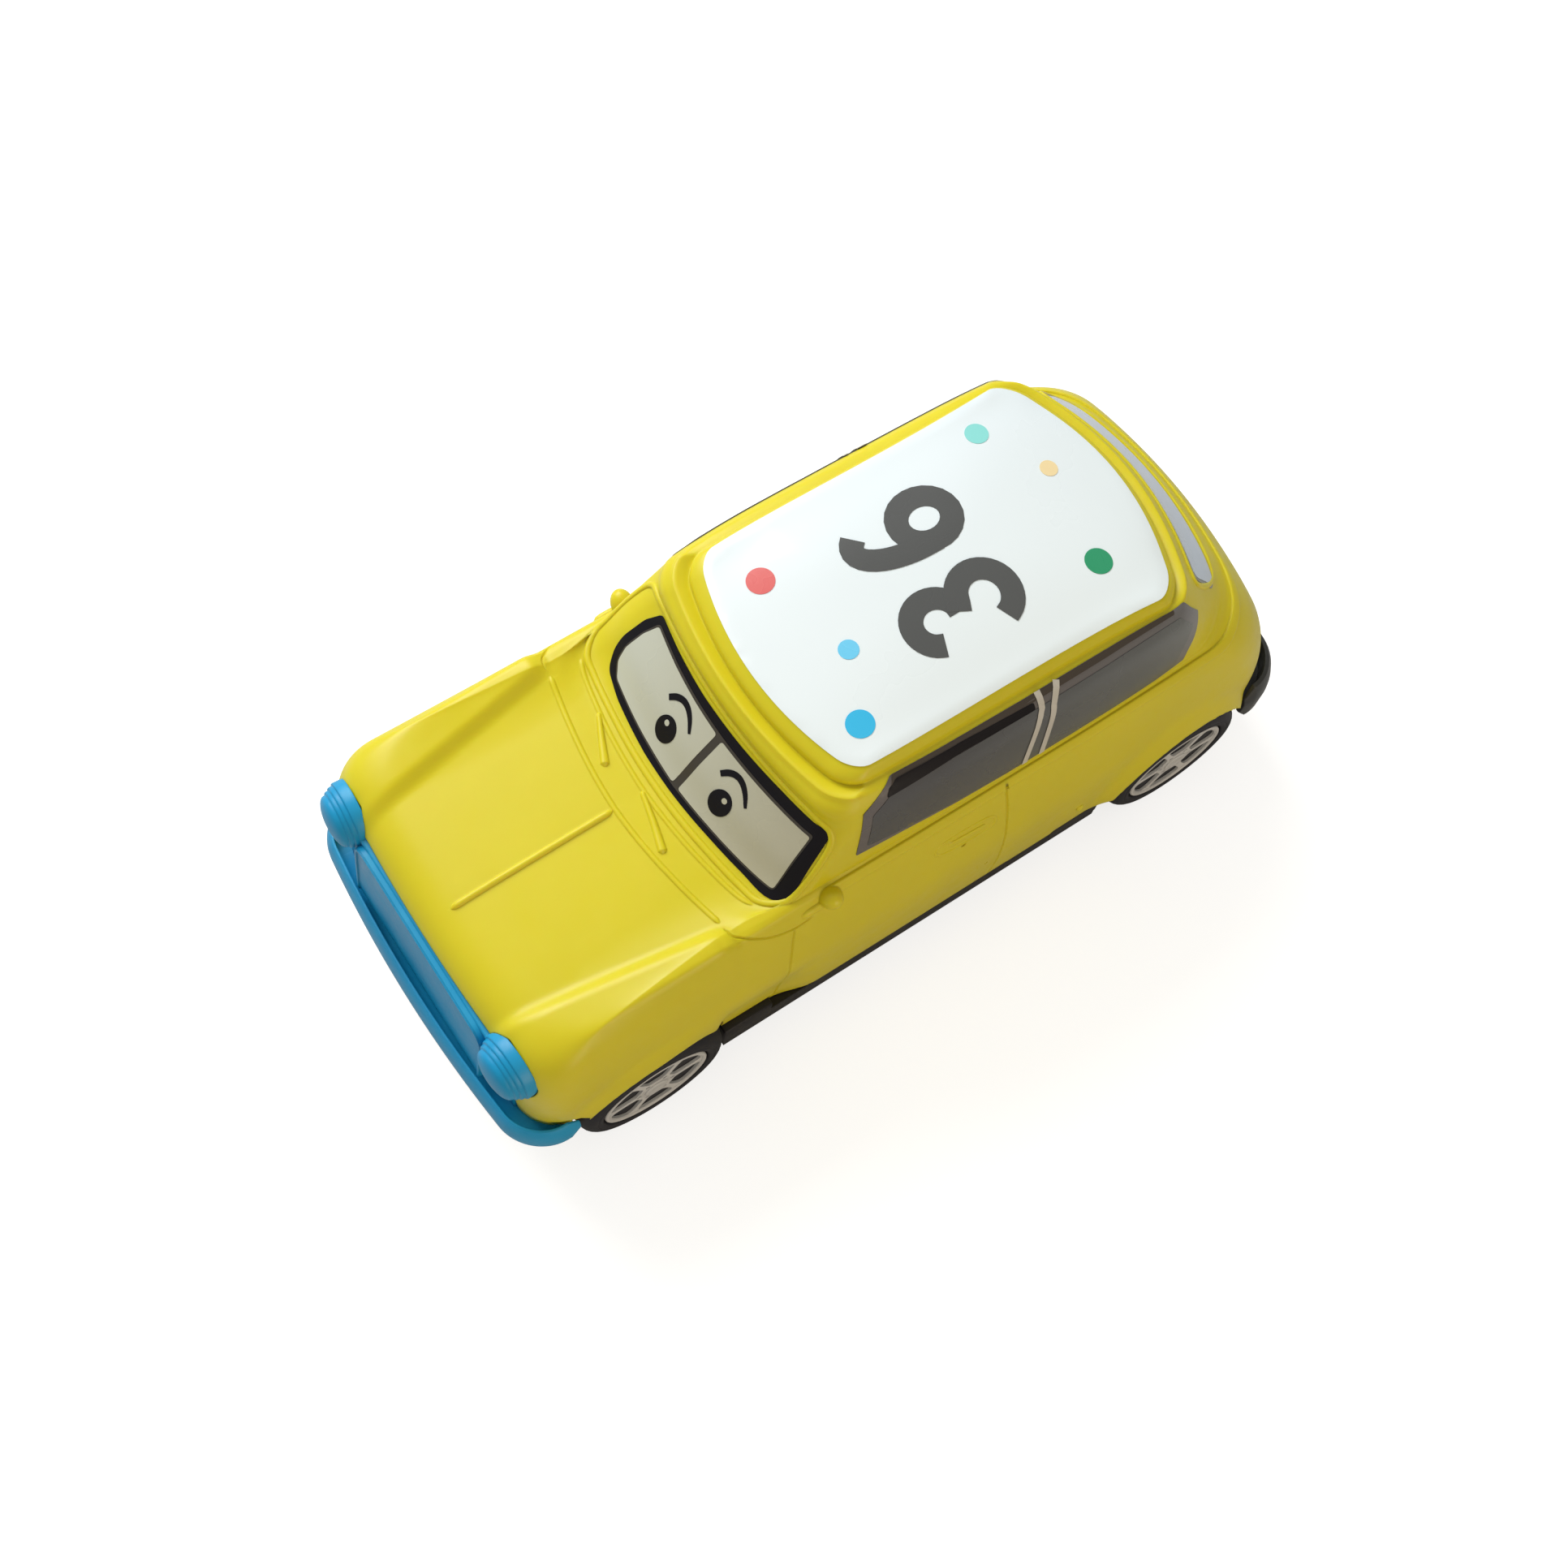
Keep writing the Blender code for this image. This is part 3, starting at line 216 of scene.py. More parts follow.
def skin(points):
    """Moulded relief: raised fenders with a crease beside the bonnet, and lips
    that swell out round the wheels."""
    x, y, z = np.abs(points[..., 0]), points[..., 1], points[..., 2]
    crease_x = 16.5 + (y + 69.0) * (5.7 / 34.0)
    relief = points.copy()
    relief[..., 2] += 1.1 * rise(x, crease_x, 2.6) * fall(y, -34.0, 3.0) * rise(z, 31.5, 8.5)
    swell = np.zeros_like(x)
    near_side = rise(x, 20, 5)
    knee = 0.18     # share of the lip that eases into the body
    for axle_y, angles, reaches, amount, (fade_start, fade_end) in FLARES:
        dy, dz = y - axle_y, z - AXLE_Z
        angle = np.degrees(np.arctan2(dz, dy))
        angle = np.where(angle < -90, angle + 360, angle)
        reach = np.interp(angle, angles, reaches)
        lip = np.clip(1 - (np.hypot(dy, dz) - ARCH_R) / (reach - ARCH_R), 0, 1)
        lip = np.where(lip < knee, lip * lip / (2 * knee), lip - knee / 2) / (1 - knee / 2)
        fade = rise(angle, fade_start, fade_end - fade_start) * fall(angle, 195, 25)
        swell = np.maximum(swell, amount * lip * fade * near_side)
    # the lower body is drawn in behind the front wheels
    swell = swell - (1.6 * rise(y, -40.0, 3.0) * fall(y, -19.5, 8.0)
                     * fall(z, 30.0, 14.0) * near_side)
    relief[..., 0] += np.sign(points[..., 0]) * swell
    return relief


def body_point(level, along):
    """Outer surface, with the drip rail and the groove that run round the roof."""
    points = skin(outline(ring_at(level), along))
    along = np.asarray(along, float)
    side = rise(along, 0.34, 0.03) * (1 - rise(along, 0.68, 0.05))
    rail = 0.42 * math.exp(-((level - 14.3) / 0.32) ** 2) * (1 - side)
    groove = 0.62 * math.exp(-((level - 15.15) / 0.26) ** 2) * (1 - 0.6 * side)
    relief = rail - groove
    if np.max(np.abs(relief)) > 1e-3:
        points[..., 0] *= 1 + 0.5 * relief / 21.0
        points[..., 1] += (points[..., 1] - 16.0) * 0.5 * relief / 34.0
        points[..., 2] += 0.85 * relief
    if level > 17.0:
        # the roof panel is one smooth dome, highest at y = 15
        y = points[..., 1]
        from_top = np.where(y < 15.0, (15.0 - y) / 31.0, (y - 15.0) / 32.3)
        lengthwise = np.where(y < 15.0, 2.1, 2.7) * from_top ** 2.6
        crosswise = 1.3 * (np.abs(points[..., 0]) / 19.6) ** 2.2
        dome = 63.3 - (crosswise ** 1.8 + lengthwise ** 1.8) ** (1 / 1.8)
        share = float(rise(level, 17.0, 1.5))
        points[..., 2] = (1 - share) * points[..., 2] + share * dome
    return points


# ------------------------------------------------------------------ mesh helpers
def link_mesh(name, bm, mesh):
    """Write a bmesh to a mesh and link an object that holds it."""
    bm.to_mesh(mesh)
    bm.free()
    piece = bpy.data.objects.new(name, mesh)
    bpy.context.scene.collection.objects.link(piece)
    return piece


def make_object(name, verts, faces):
    """Closed mesh in mm with its faces turned outwards."""
    mesh = bpy.data.meshes.new(name)
    mesh.from_pydata([tuple(map(float, v)) for v in verts], [],
                     [tuple(map(int, f)) for f in faces])
    bm = bmesh.new()
    bm.from_mesh(mesh)
    bmesh.ops.remove_doubles(bm, verts=bm.verts, dist=1e-4)
    bmesh.ops.recalc_face_normals(bm, faces=bm.faces)
    if bm.calc_volume(signed=True) < 0:
        bmesh.ops.reverse_faces(bm, faces=bm.faces)
    return link_mesh(name, bm, mesh)


def combine(piece, tool, operation="UNION"):
    """Boolean of the piece with a tool, which is used up."""
    boolean = piece.modifiers.new("b", "BOOLEAN")
    boolean.operation = operation
    boolean.solver = "MANIFOLD"
    boolean.object = tool
    bpy.context.view_layer.update()
    graph = bpy.context.evaluated_depsgraph_get()
    mesh = bpy.data.meshes.new_from_object(piece.evaluated_get(graph), depsgraph=graph)
    piece.modifiers.clear()
    old, piece.data = piece.data, mesh
    bpy.data.meshes.remove(old)
    bpy.data.objects.remove(tool)


def union_all(parts):
    for part in parts[1:]:
        combine(parts[0], part)
    return parts[0]


def finish_piece(piece, material, body, nodes=(), *, sharp):
    """Scale to metres, give material and shading, and register the piece."""
    mesh = piece.data
    mesh.transform(Matrix.Scale(MM, 4))
    mesh.materials.clear()
    mesh.materials.append(material)
    mesh.polygons.foreach_set("material_index", np.zeros(len(mesh.polygons), np.int32))
    mesh.shade_smooth()
    mesh.set_sharp_from_angle(angle=math.radians(sharp))
    mesh.update()
    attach(piece, body)
    if nodes:
        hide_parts(*nodes)


def spline(points, step, closed=False):
    """Smooth line through the points, with about one point every step mm."""
    points = np.array(points, float)
    count = len(points)
    line = []
    for i in range(count if closed else count - 1):
        length = np.linalg.norm(points[(i + 1) % count] - points[i])
        pieces = max(1, int(length / step))
        line += [catmull(points, i, j / pieces, closed) for j in range(pieces)]
    if not closed:
        line.append(points[-1])
    return np.array(line)


def bezier(start, middle, end, t):
    return (1 - t) ** 2 * start + 2 * t * (1 - t) * middle + t * t * end


def rounded(points, radius, segments=5):
    """Polygon with rounded corners; radius is one value or one for each corner."""
    points = np.array(points, float)
    count = len(points)
    radii = [radius] * count if np.isscalar(radius) else radius
    loop = []
    for i, corner in enumerate(points):
        if radii[i] <= 0:
            loop.append(corner)
            continue
        ends = []
        for neighbour in (points[i - 1], points[(i + 1) % count]):
            length = np.linalg.norm(neighbour - corner)
            ends.append(corner + (neighbour - corner) / length * min(radii[i], 0.48 * length))
        loop += [bezier(ends[0], corner, ends[1], j / segments) for j in range(segments + 1)]
    return np.array(loop)


def circle(x, y, radius, count, radius_y=None):
    angle = np.linspace(0, 2 * math.pi, count, endpoint=False)
    radius_y = radius if radius_y is None else radius_y
    return np.stack([x + radius * np.cos(angle), y + radius_y * np.sin(angle)], -1)


def revolve(name, profile, axis, centre, segments=96):
    """Closed section of (radius, height) turned round an axis through centre."""
    axis = Vector(axis).normalized()
    first = Vector((0, 0, 1)) if abs(axis.z) < 0.9 else Vector((1, 0, 0))
    first = (first - axis * first.dot(axis)).normalized()
    second = axis.cross(first)
    verts, faces = [], []
    count = len(profile)
    for i in range(segments):
        angle = 2 * math.pi * i / segments
        spoke = first * math.cos(angle) + second * math.sin(angle)
        verts += [Vector(centre) + spoke * float(r) + axis * float(h) for r, h in profile]
    for i in range(segments):
        j = (i + 1) % segments
        for k in range(count):
            m = (k + 1) % count
            start_on_axis, end_on_axis = profile[k][0] < 1e-6, profile[m][0] < 1e-6
            if start_on_axis and end_on_axis:
                continue
            face = [i * count + k, i * count + m, j * count + m, j * count + k]
            if start_on_axis:
                face.pop()
            elif end_on_axis:
                face.pop(2)
            faces.append(face)
    return make_object(name, verts, faces)


def tube(name, verts, count, size, closed=False):
    """Skin over count sections of size points each; an open tube gets end caps."""
    faces = []
    for i in range(count if closed else count - 1):
        j = (i + 1) % count
        for a in range(size):
            b = (a + 1) % size
            faces.append((i * size + a, i * size + b, j * size + b, j * size + a))
    if not closed:
        faces.append(tuple(range(size))[::-1])
        faces.append(tuple((count - 1) * size + a for a in range(size)))
    return make_object(name, verts, faces)


def block(name, lo, hi, bevel=0.0, segments=3):
    """Box with rounded edges."""
    bm = bmesh.new()
    bmesh.ops.create_cube(bm, size=1.0)
    lo, hi = Vector(lo), Vector(hi)
    for v in bm.verts:
        v.co = Vector([lo[i] + (v.co[i] + 0.5) * (hi[i] - lo[i]) for i in range(3)])
    if bevel > 0:
        bmesh.ops.bevel(bm, geom=list(bm.edges), offset=bevel, segments=segments,
                        profile=0.5, affect="EDGES", clamp_overlap=True)
    return link_mesh(name, bm, bpy.data.meshes.new(name))


def side_block(name, side, x_range, y_range, z_range, bevel=0.0, segments=3):
    """Box on one side of the car; x_range is measured out from the middle."""
    xs = sorted(side * x for x in x_range)
    lo, hi = zip(xs, y_range, z_range)
    return block(name, lo, hi, bevel, segments)


def inside(points, loops):
    """Even-odd test of points against closed loops."""
    points = np.asarray(points, float)
    hit = np.zeros(len(points), bool)
    for loop in loops:
        starts = np.asarray(loop, float)
        for (x0, y0), (x1, y1) in zip(starts, np.roll(starts, -1, 0)):
            if y0 == y1:
                continue
            spanned = (points[:, 1] < y0) != (points[:, 1] < y1)
            crossing = x0 + (points[:, 1] - y0) * (x1 - x0) / (y1 - y0)
            hit ^= spanned & (points[:, 0] < crossing)
    return hit


def flat_mesh(loops, step):
    """Triangles that fill loops with holes, with inner points every step mm."""
    rim, edges = [], []
    for loop in loops:
        loop = np.asarray(loop, float)
        dense = []
        for a, b in zip(loop, np.roll(loop, -1, 0)):
            pieces = max(1, int(np.linalg.norm(b - a) / step + 0.5))
            dense += [a + (b - a) * i / pieces for i in range(pieces)]
        base, count = len(rim), len(dense)
        rim += dense
        edges += [(base + i, base + (i + 1) % count) for i in range(count)]
    rim_array = np.array(rim)
    lo, hi = rim_array.min(0), rim_array.max(0)
    axes = [np.arange(lo[i] + step * 0.5, hi[i], step) for i in (0, 1)]
    grid = np.stack(np.meshgrid(*axes, indexing="ij"), -1).reshape(-1, 2)
    if len(grid):
        grid = grid[inside(grid, loops)]
    if len(grid):
        gap = np.sqrt(((grid[:, None] - rim_array[None]) ** 2).sum(-1)).min(1)
        grid = grid[gap > 0.45 * step]
    verts = [Vector(v) for v in rim] + [Vector(v) for v in grid]
    points, _, faces = delaunay_2d_cdt(verts, edges, [], 0, 1e-6)[:3]
    points = np.array([tuple(v) for v in points])
    centres = np.array([points[list(f)].mean(0) for f in faces])
    return points, [tuple(f) for f, kept in zip(faces, inside(centres, loops)) if kept]


def prism(name, loops, place, lift, thick, step=1.2):
    """A thin sheet cut to loops.  place turns (N, 2) into points and normals."""
    points, tris = flat_mesh(loops, step)
    used = sorted({i for tri in tris for i in tri})
    new = {old: i for i, old in enumerate(used)}
    tris = [tuple(new[i] for i in tri) for tri in tris]
    base, normals = place(points[used])
    count = len(base)
    verts = np.concatenate([base + normals * lift, base + normals * (lift - thick)])
    edges = {}
    for a, b, c in tris:
        edges.update({(a, b): True, (b, c): True, (c, a): True})
    faces = tris + [tuple(i + count for i in reversed(tri)) for tri in tris]
    faces += [(b, a, a + count, b + count) for a, b in edges if (b, a) not in edges]
    return make_object(name, verts, faces)


def facing(points, normal):
    return np.tile(np.array(normal, float), (len(points), 1))


def level_plane(z, up):
    """Place function for a horizontal sheet at z that faces up (1) or down (-1)."""
    def place(points):
        spots = np.stack([points[:, 0], points[:, 1], np.full(len(points), z)], -1)
        return spots, facing(points, (0, 0, up))
    return place


# ----------------------------------------------------- body grid and its surface
def body_grid():
    """Columns and rows of points on the left half of the outer surface."""
    columns = np.unique(np.concatenate([
        [0, .004, .008, .012, .017, .024], np.linspace(.032, .26, 34),
        np.linspace(.26, .36, 22), np.linspace(.36, .66, 168),
        np.linspace(.66, .76, 24), np.linspace(.76, 1, 34)]))
    fine = np.linspace(0, TOP, 1201)
    probe = np.array([0.0, 0.1, 0.31, 0.45, 0.6, 0.71, 0.9, 1.0])
    points = np.array([body_point(level, probe) for level in fine])
    gap = np.linalg.norm(np.diff(points, axis=0), axis=-1).max(1)
    # closer rows at the drip rail and the roof groove
    gap *= np.where((fine[1:] > 13.5) & (fine[1:] < 16.3), 2.4, 1.0)
    climb = np.concatenate([[0], np.cumsum(gap)])
    levels = np.interp(np.linspace(0, climb[-1], 172), climb, fine)
    levels[-1] = TOP
    return columns, [body_point(level, columns) for level in levels]


COLUMNS, ROWS = body_grid()


def inner_row(level, columns):
    """Row of the inside of the wall."""
    ring = ring_at(level)
    if ring[HALF] > 2.5:
        wall = 1.7
        ring[NOSE_Y] += wall
        ring[TAIL_Y] -= wall
        ring[[HALF, NOSE_HALF, TAIL_HALF]] -= wall
    else:
        ring[NOSE_Y] += 1.0
        ring[TAIL_Y] -= 1.0
        for column in (NOSE_HALF, TAIL_HALF):
            ring[column] = min(ring[column], ring[HALF])
    least_radius = 0.3 if ring[HALF] > 1 else 0
    for column in (NOSE_R, TAIL_R):
        ring[column] = max(ring[column] - 1.2, least_radius)
    ring[[NOSE_Z, SIDE_Z, TAIL_Z]] -= 1.6 * float(rise(level, 3.0, 3.5))
    points = outline(ring, columns)
    return skin(points) if level < 7 else points


def shell_mesh():
    """Closed thin wall: fine outside, coarse inside, joined along the sill."""
    verts, faces = [], []

    def add_wall(rows, flip):
        columns = len(rows[0])
        around = 2 * (columns - 1)
        base = len(verts)
        for row in rows[:-1]:
            half = row.copy()
            half[0, 0] = half[-1, 0] = 0.0
            verts.extend(np.concatenate([half, half[-2:0:-1] * (-1, 1, 1)]))
        top = len(verts)
        verts.extend(rows[-1] * (0, 1, 1))
        for j in range(len(rows) - 2):
            for i in range(around):
                k = (i + 1) % around
                lower, upper = base + j * around, base + (j + 1) * around
                face = (lower + i, lower + k, upper + k, upper + i)
                faces.append(face[::-1] if flip else face)
        # the top row is one line shared by both halves
        lower = base + (len(rows) - 2) * around
        for i in range(around):
            k = (i + 1) % around
            top_i, top_k = (top + (n if n < columns else around - n) for n in (i, k))
            face = (lower + i, lower + k, top_k, top_i)
            faces.append(face[::-1] if flip else face)
        return base, around

    _, outer_around = add_wall(ROWS, False)
    count = len(COLUMNS)
    picks = sorted(set(list(range(0, count, 4)) + [count - 1]))
    inner = [inner_row(level, COLUMNS[picks]) for level in np.linspace(0, TOP, 44)]
    inner_base, inner_around = add_wall(inner, True)
    matching = picks + [outer_around - i for i in picks[-2:0:-1]]
    for a in range(inner_around):
        b = (a + 1) % inner_around
        end = matching[b] if b else outer_around
        chain = [i % outer_around for i in range(matching[a], end + 1)]
        faces.append(tuple(chain[::-1] + [inner_base + a, inner_base + b]))
    return verts, faces


def surface_tree():
    """Search tree of the outer surface on both sides."""
    verts, faces = [], []
    count = len(COLUMNS)
    for side, _ in SIDES:
        base = len(verts)
        for row in ROWS:
            verts += [Vector((p[0] * side, p[1], p[2])) for p in row]
        for j in range(len(ROWS) - 1):
            for i in range(count - 1):
                a = base + j * count + i
                face = (a, a + 1, a + count + 1, a + count)
                faces.append(face if side > 0 else (a, *face[:0:-1]))
    return BVHTree.FromPolygons(verts, faces)


SURFACE = surface_tree()


def snap(points):
    """Nearest places on the body, and the outward normals there."""
    spots, normals = [], []
    for point in points:
        spot, normal = SURFACE.find_nearest(Vector(point))[:2]
        if normal.dot(spot - BODY_CENTRE) < 0:
            normal = -normal
        spots.append(tuple(spot))
        normals.append(tuple(normal))
    return np.array(spots), np.array(normals)


def drop(points):
    """Places straight below (x, y) on the roof or bonnet, and the normals there."""
    spots, normals = [], []
    for x, y in points:
        spot, normal = SURFACE.ray_cast(Vector((x, y, 90)), Vector((0, 0, -1)))[:2]
        spots.append(tuple(spot))
        normals.append(tuple(normal if normal.z > 0 else -normal))
    return np.array(spots), np.array(normals)


class Chart:
    """Flat map of a region of the body.  The first coordinate is x (axis 0) or
    y (axis 1); the second is the distance up the surface along one column."""

    def __init__(self, levels, alongs, axis, measured_at, side=1, top=TOP):
        self.levels = np.linspace(*levels, 160)
        columns = np.linspace(*alongs, 260)
        self.rows = [body_point(level, columns) for level in self.levels]
        self.climb = travel(np.array([body_point(level, np.array([measured_at]))[0]
                                      for level in self.levels]))
        self.axis, self.side, self.top = axis, side, top

    def lay(self, table):
        """Map coordinates of rows (place, level[, extra distance up])."""
        return [(a, float(np.interp(min(level, self.top), self.levels, self.climb)) + sum(extra))
                for a, level, *extra in table]

    def __call__(self, points):
        spots = []
        for a, up in points:
            side = self.side
            if self.axis == 0:
                side = 1 if a >= 0 else -1
                a = abs(a)
            place = float(np.interp(up, self.climb, np.arange(len(self.climb))))
            k = min(int(place), len(self.levels) - 2)
            t = place - k
            ends = []
            for row in (self.rows[k], self.rows[k + 1]):
                key = row[:, self.axis]
                order = np.argsort(key)
                ends.append([np.interp(a, key[order], row[order, c]) for c in range(3)])
            x, y, z = np.array(ends[0]) * (1 - t) + np.array(ends[1]) * t
            spots.append((x * side, y, z))
        spots = np.array(spots)
        return spots, snap(spots)[1]


# ------------------------------------------------------ strips that follow the body
def surface_points(table):
    """Points for (level, along) rows; a negative along lies on the right side."""
    points = []
    for level, along in table:
        x, y, z = body_point(level, np.array([abs(along)]))[0]
        points.append((-x if along < 0 else x, y, z))
    return points


def other_side(table):
    return [(level, -along) for level, along in table]


def ridge(name, points, width, height, closed=False, taper=1.4, end_width=None, flat=0.0,
          groove=False):
    """A raised moulded line (or, as a cutter, a groove) that lies on the body."""
    points, normals = snap(spline(points, 0.5, closed))
    count = len(points)
    # average each normal with two neighbours on either side
    total = np.zeros_like(normals)
    for shift in range(-2, 3):
        if closed:
            total += np.roll(normals, shift, 0)
        else:
            total += normals[np.clip(np.arange(count) + shift, 0, count - 1)]
    normals = unit(total)
    across = unit(np.cross(normals, unit(spans(points, closed), 1e-12)), 1e-12)
    run = travel(points)
    # section of (share of the width, height)
    if groove:
        section = [(-0.5, 0.35), (-0.5, 0.0), (-0.28, -0.75 * height), (0.0, -height),
                   (0.28, -0.75 * height), (0.5, 0.0), (0.5, 0.35)]
    else:
        section = [(-0.5, -0.45), (-0.5, 0.0)]
        for i in range(1, 8):
            angle = math.pi * i / 8
            cosine = math.cos(angle)
            section.append((-0.5 * math.copysign(abs(cosine) ** (1.0 - 0.6 * flat), cosine),
                            height * math.sin(angle) ** (0.9 - 0.5 * flat)))
        section += [(0.5, 0.0), (0.5, -0.45)]
    verts = []
    for i in range(count):
        wide, tall = width, 1.0
        if end_width is not None:
            wide = width + (end_width - width) * run[i] / run[-1]
        if not closed:
            to_end = min(run[i], run[-1] - run[i])
            ease = math.sqrt(max(0.0, 1 - (1 - min(1.0, to_end / taper)) ** 2))
            wide *= 0.25 + 0.75 * ease
            tall = 0.02 + 0.98 * ease
        for a, b in section:
            rise_by = b * tall if b > 0 or groove else b
            verts.append(points[i] + across[i] * a * wide + normals[i] * rise_by)
    return tube(name, verts, count, len(section), closed)


def plan_line(ring, along):
    """Plan of an outline and its outward normals, both in x and y."""
    ahead = outline(ring, np.clip(along + 1e-3, 0, 1))
    step = ahead - outline(ring, np.clip(along - 1e-3, 0, 1))
    return outline(ring, along)[:, :2], unit(np.stack([step[:, 1], -step[:, 0]], -1))


def band(name, ring, end, section, at_nose=True):
    """Bar that follows a plan outline round the nose or tail.  section is a
    closed loop of (outward move, z)."""
    points, normals = plan_line(ring, np.linspace(0 if at_nose else 1, end, 90))
    points[0, 0] = 0.0
    normals[0] = (0, -1 if at_nose else 1)
    points, normals = (np.concatenate([half[:0:-1] * (-1, 1), half])
                       for half in (points, normals))
    run = travel(points)
    mid_z = sum(z for _, z in section) / len(section)
    mid_out = sum(out for out, _ in section) / len(section)
    verts = []
    for (x, y), (nx, ny), distance in zip(points, normals, run):
        to_end = min(distance, run[-1] - distance)
        size = 0.45 + 0.55 * math.sqrt(max(0.0, 1 - (1 - min(1.0, to_end / 1.6)) ** 2))
        for out, z in section:
            move = mid_out + (out - mid_out) * size
            verts.append((x + nx * move, y + ny * move, mid_z + (z - mid_z) * size))
    return tube(name, verts, len(points), len(section))


def web(name, ring, start, end, bottom, top):
    """Flat web that closes the space between a bumper bar and the body."""
    def moved(line_ring, out):
        points, normals = plan_line(line_ring, np.linspace(start, end, 25))
        return points + normals * out

    far, near = moved(ring, -0.9), moved(ring_at(1.5), 0.04)
    if end < 1.0:
        left = np.concatenate([far, near[::-1]])
        loops = [left, left * (-1, 1)]
    else:
        far[-1, 0] = near[-1, 0] = 0.0
        far, near = (np.concatenate([q * (-1, 1), q[-2::-1]]) for q in (far, near))
        loops = [np.concatenate([far, near[::-1]])]
    return [prism(f"{name}_{i}", [loop], level_plane(top, 1), 0.0, top - bottom, 3.0)
            for i, loop in enumerate(loops)]


# ------------------------------------------------------------- material helpers
def new_material(name):
    material = bpy.data.materials.new(name)
    material.use_nodes = True
    tree = material.node_tree
    return material, tree, tree.nodes["Principled BSDF"]


def add(tree, kind, **settings):
    """New node; each setting is an input where one has that name."""
    node = tree.nodes.new(kind)
    for key, value in settings.items():
        if key in node.inputs:
            node.inputs[key].default_value = value
        else:
            setattr(node, key, value)
    return node


def set_inputs(node, values):
    for key, value in values.items():
        node.inputs[key].default_value = value


def mix_rgb(tree, factor, first, second):
    node = add(tree, "ShaderNodeMix", data_type="RGBA")
    for socket, value in ((node.inputs[0], factor), (node.inputs[6], first),
                          (node.inputs[7], second)):
        if hasattr(value, "links"):
            tree.links.new(value, socket)
        else:
            socket.default_value = value
    return node.outputs[2]


def remap(tree, value, source, target):
    """Map the source range of a value on to the target range."""
    node = add(tree, "ShaderNodeMapRange")
    set_inputs(node, {"From Min": source[0], "From Max": source[1],
                      "To Min": target[0], "To Max": target[1]})
    tree.links.new(value, node.inputs["Value"])
    return node.outputs["Result"]


def add_values(tree, first, second):
    node = add(tree, "ShaderNodeMath", operation="ADD")
    tree.links.new(first, node.inputs[0])
    tree.links.new(second, node.inputs[1])
    return node.outputs[0]


def scaled(rgb, gain, lift=0.0):
    return (*[min(1, c * gain + lift) for c in rgb], 1)


def plastic(name, rgb, *, rough, vary, grain, bump, edge, round_mm, tint=None,
            metallic=0.0, scratches=0.0, sss=0.0, spec=0.5):
    """Moulded plastic or metal: colour drift, fine grain, rubbed edges, rounded
    corners and, if asked for, hair scratches and light that goes below the skin."""
    material, tree, shader = new_material(name)
    link = tree.links.new
    place = add(tree, "ShaderNodeTexCoord").outputs["Object"]
    cloud = add(tree, "ShaderNodeTexNoise", Scale=38.0, Detail=3.0)
    fine = add(tree, "ShaderNodeTexNoise", Scale=grain, Detail=2.0)
    speck = add(tree, "ShaderNodeTexNoise", Scale=240.0, Detail=4.0, Roughness=0.6)
    for node in (cloud, fine, speck):
        link(place, node.inputs["Vector"])
    cloud, fine, speck = (node.outputs[0] for node in (cloud, fine, speck))
    colour = mix_rgb(tree, remap(tree, cloud, (0.35, 0.65), (0, 1)),
                     scaled(rgb, 1 - vary * 2), (*rgb, 1))
    colour = mix_rgb(tree, remap(tree, speck, (0.55, 0.75), (0, 0.35)),
                     colour, scaled(tint or rgb, 1 + vary, vary * 0.06))
    geometry = add(tree, "ShaderNodeNewGeometry")
    worn = remap(tree, geometry.outputs["Pointiness"], (0.52, 0.62), (0, edge))
    colour = mix_rgb(tree, worn, colour, scaled(rgb, 1.25, 0.06))
    link(colour, shader.inputs["Base Color"])
    roughness = add_values(
        tree, remap(tree, speck, (0.3, 0.7), (rough - 0.05, rough + 0.06)),
        remap(tree, cloud, (0.3, 0.7), (-0.02, 0.03)))
    bevel = add(tree, "ShaderNodeBevel", samples=4, Radius=round_mm * MM)
    grain_bump = add(tree, "ShaderNodeBump", Strength=bump, Distance=0.00012)
    link(fine, grain_bump.inputs["Height"])
    link(bevel.outputs[0], grain_bump.inputs["Normal"])
    if scratches:
        wave = add(tree, "ShaderNodeTexWave", Scale=260.0, Distortion=28.0, Detail=3.0)
        set_inputs(wave, {"Detail Scale": 1.2})
        link(place, wave.inputs["Vector"])
        hairs = remap(tree, wave.outputs[1], (0.985, 1.0), (0.0, scratches))
        roughness = add_values(tree, roughness, hairs)
    link(roughness, shader.inputs["Roughness"])
    link(grain_bump.outputs[0], shader.inputs["Normal"])
    set_inputs(shader, {"Metallic": metallic, "Specular IOR Level": spec})
    if sss:
        set_inputs(shader, {"Subsurface Weight": sss, "Subsurface Radius": (1.0, 0.55, 0.12),
                            "Subsurface Scale": 0.0018})
    return material


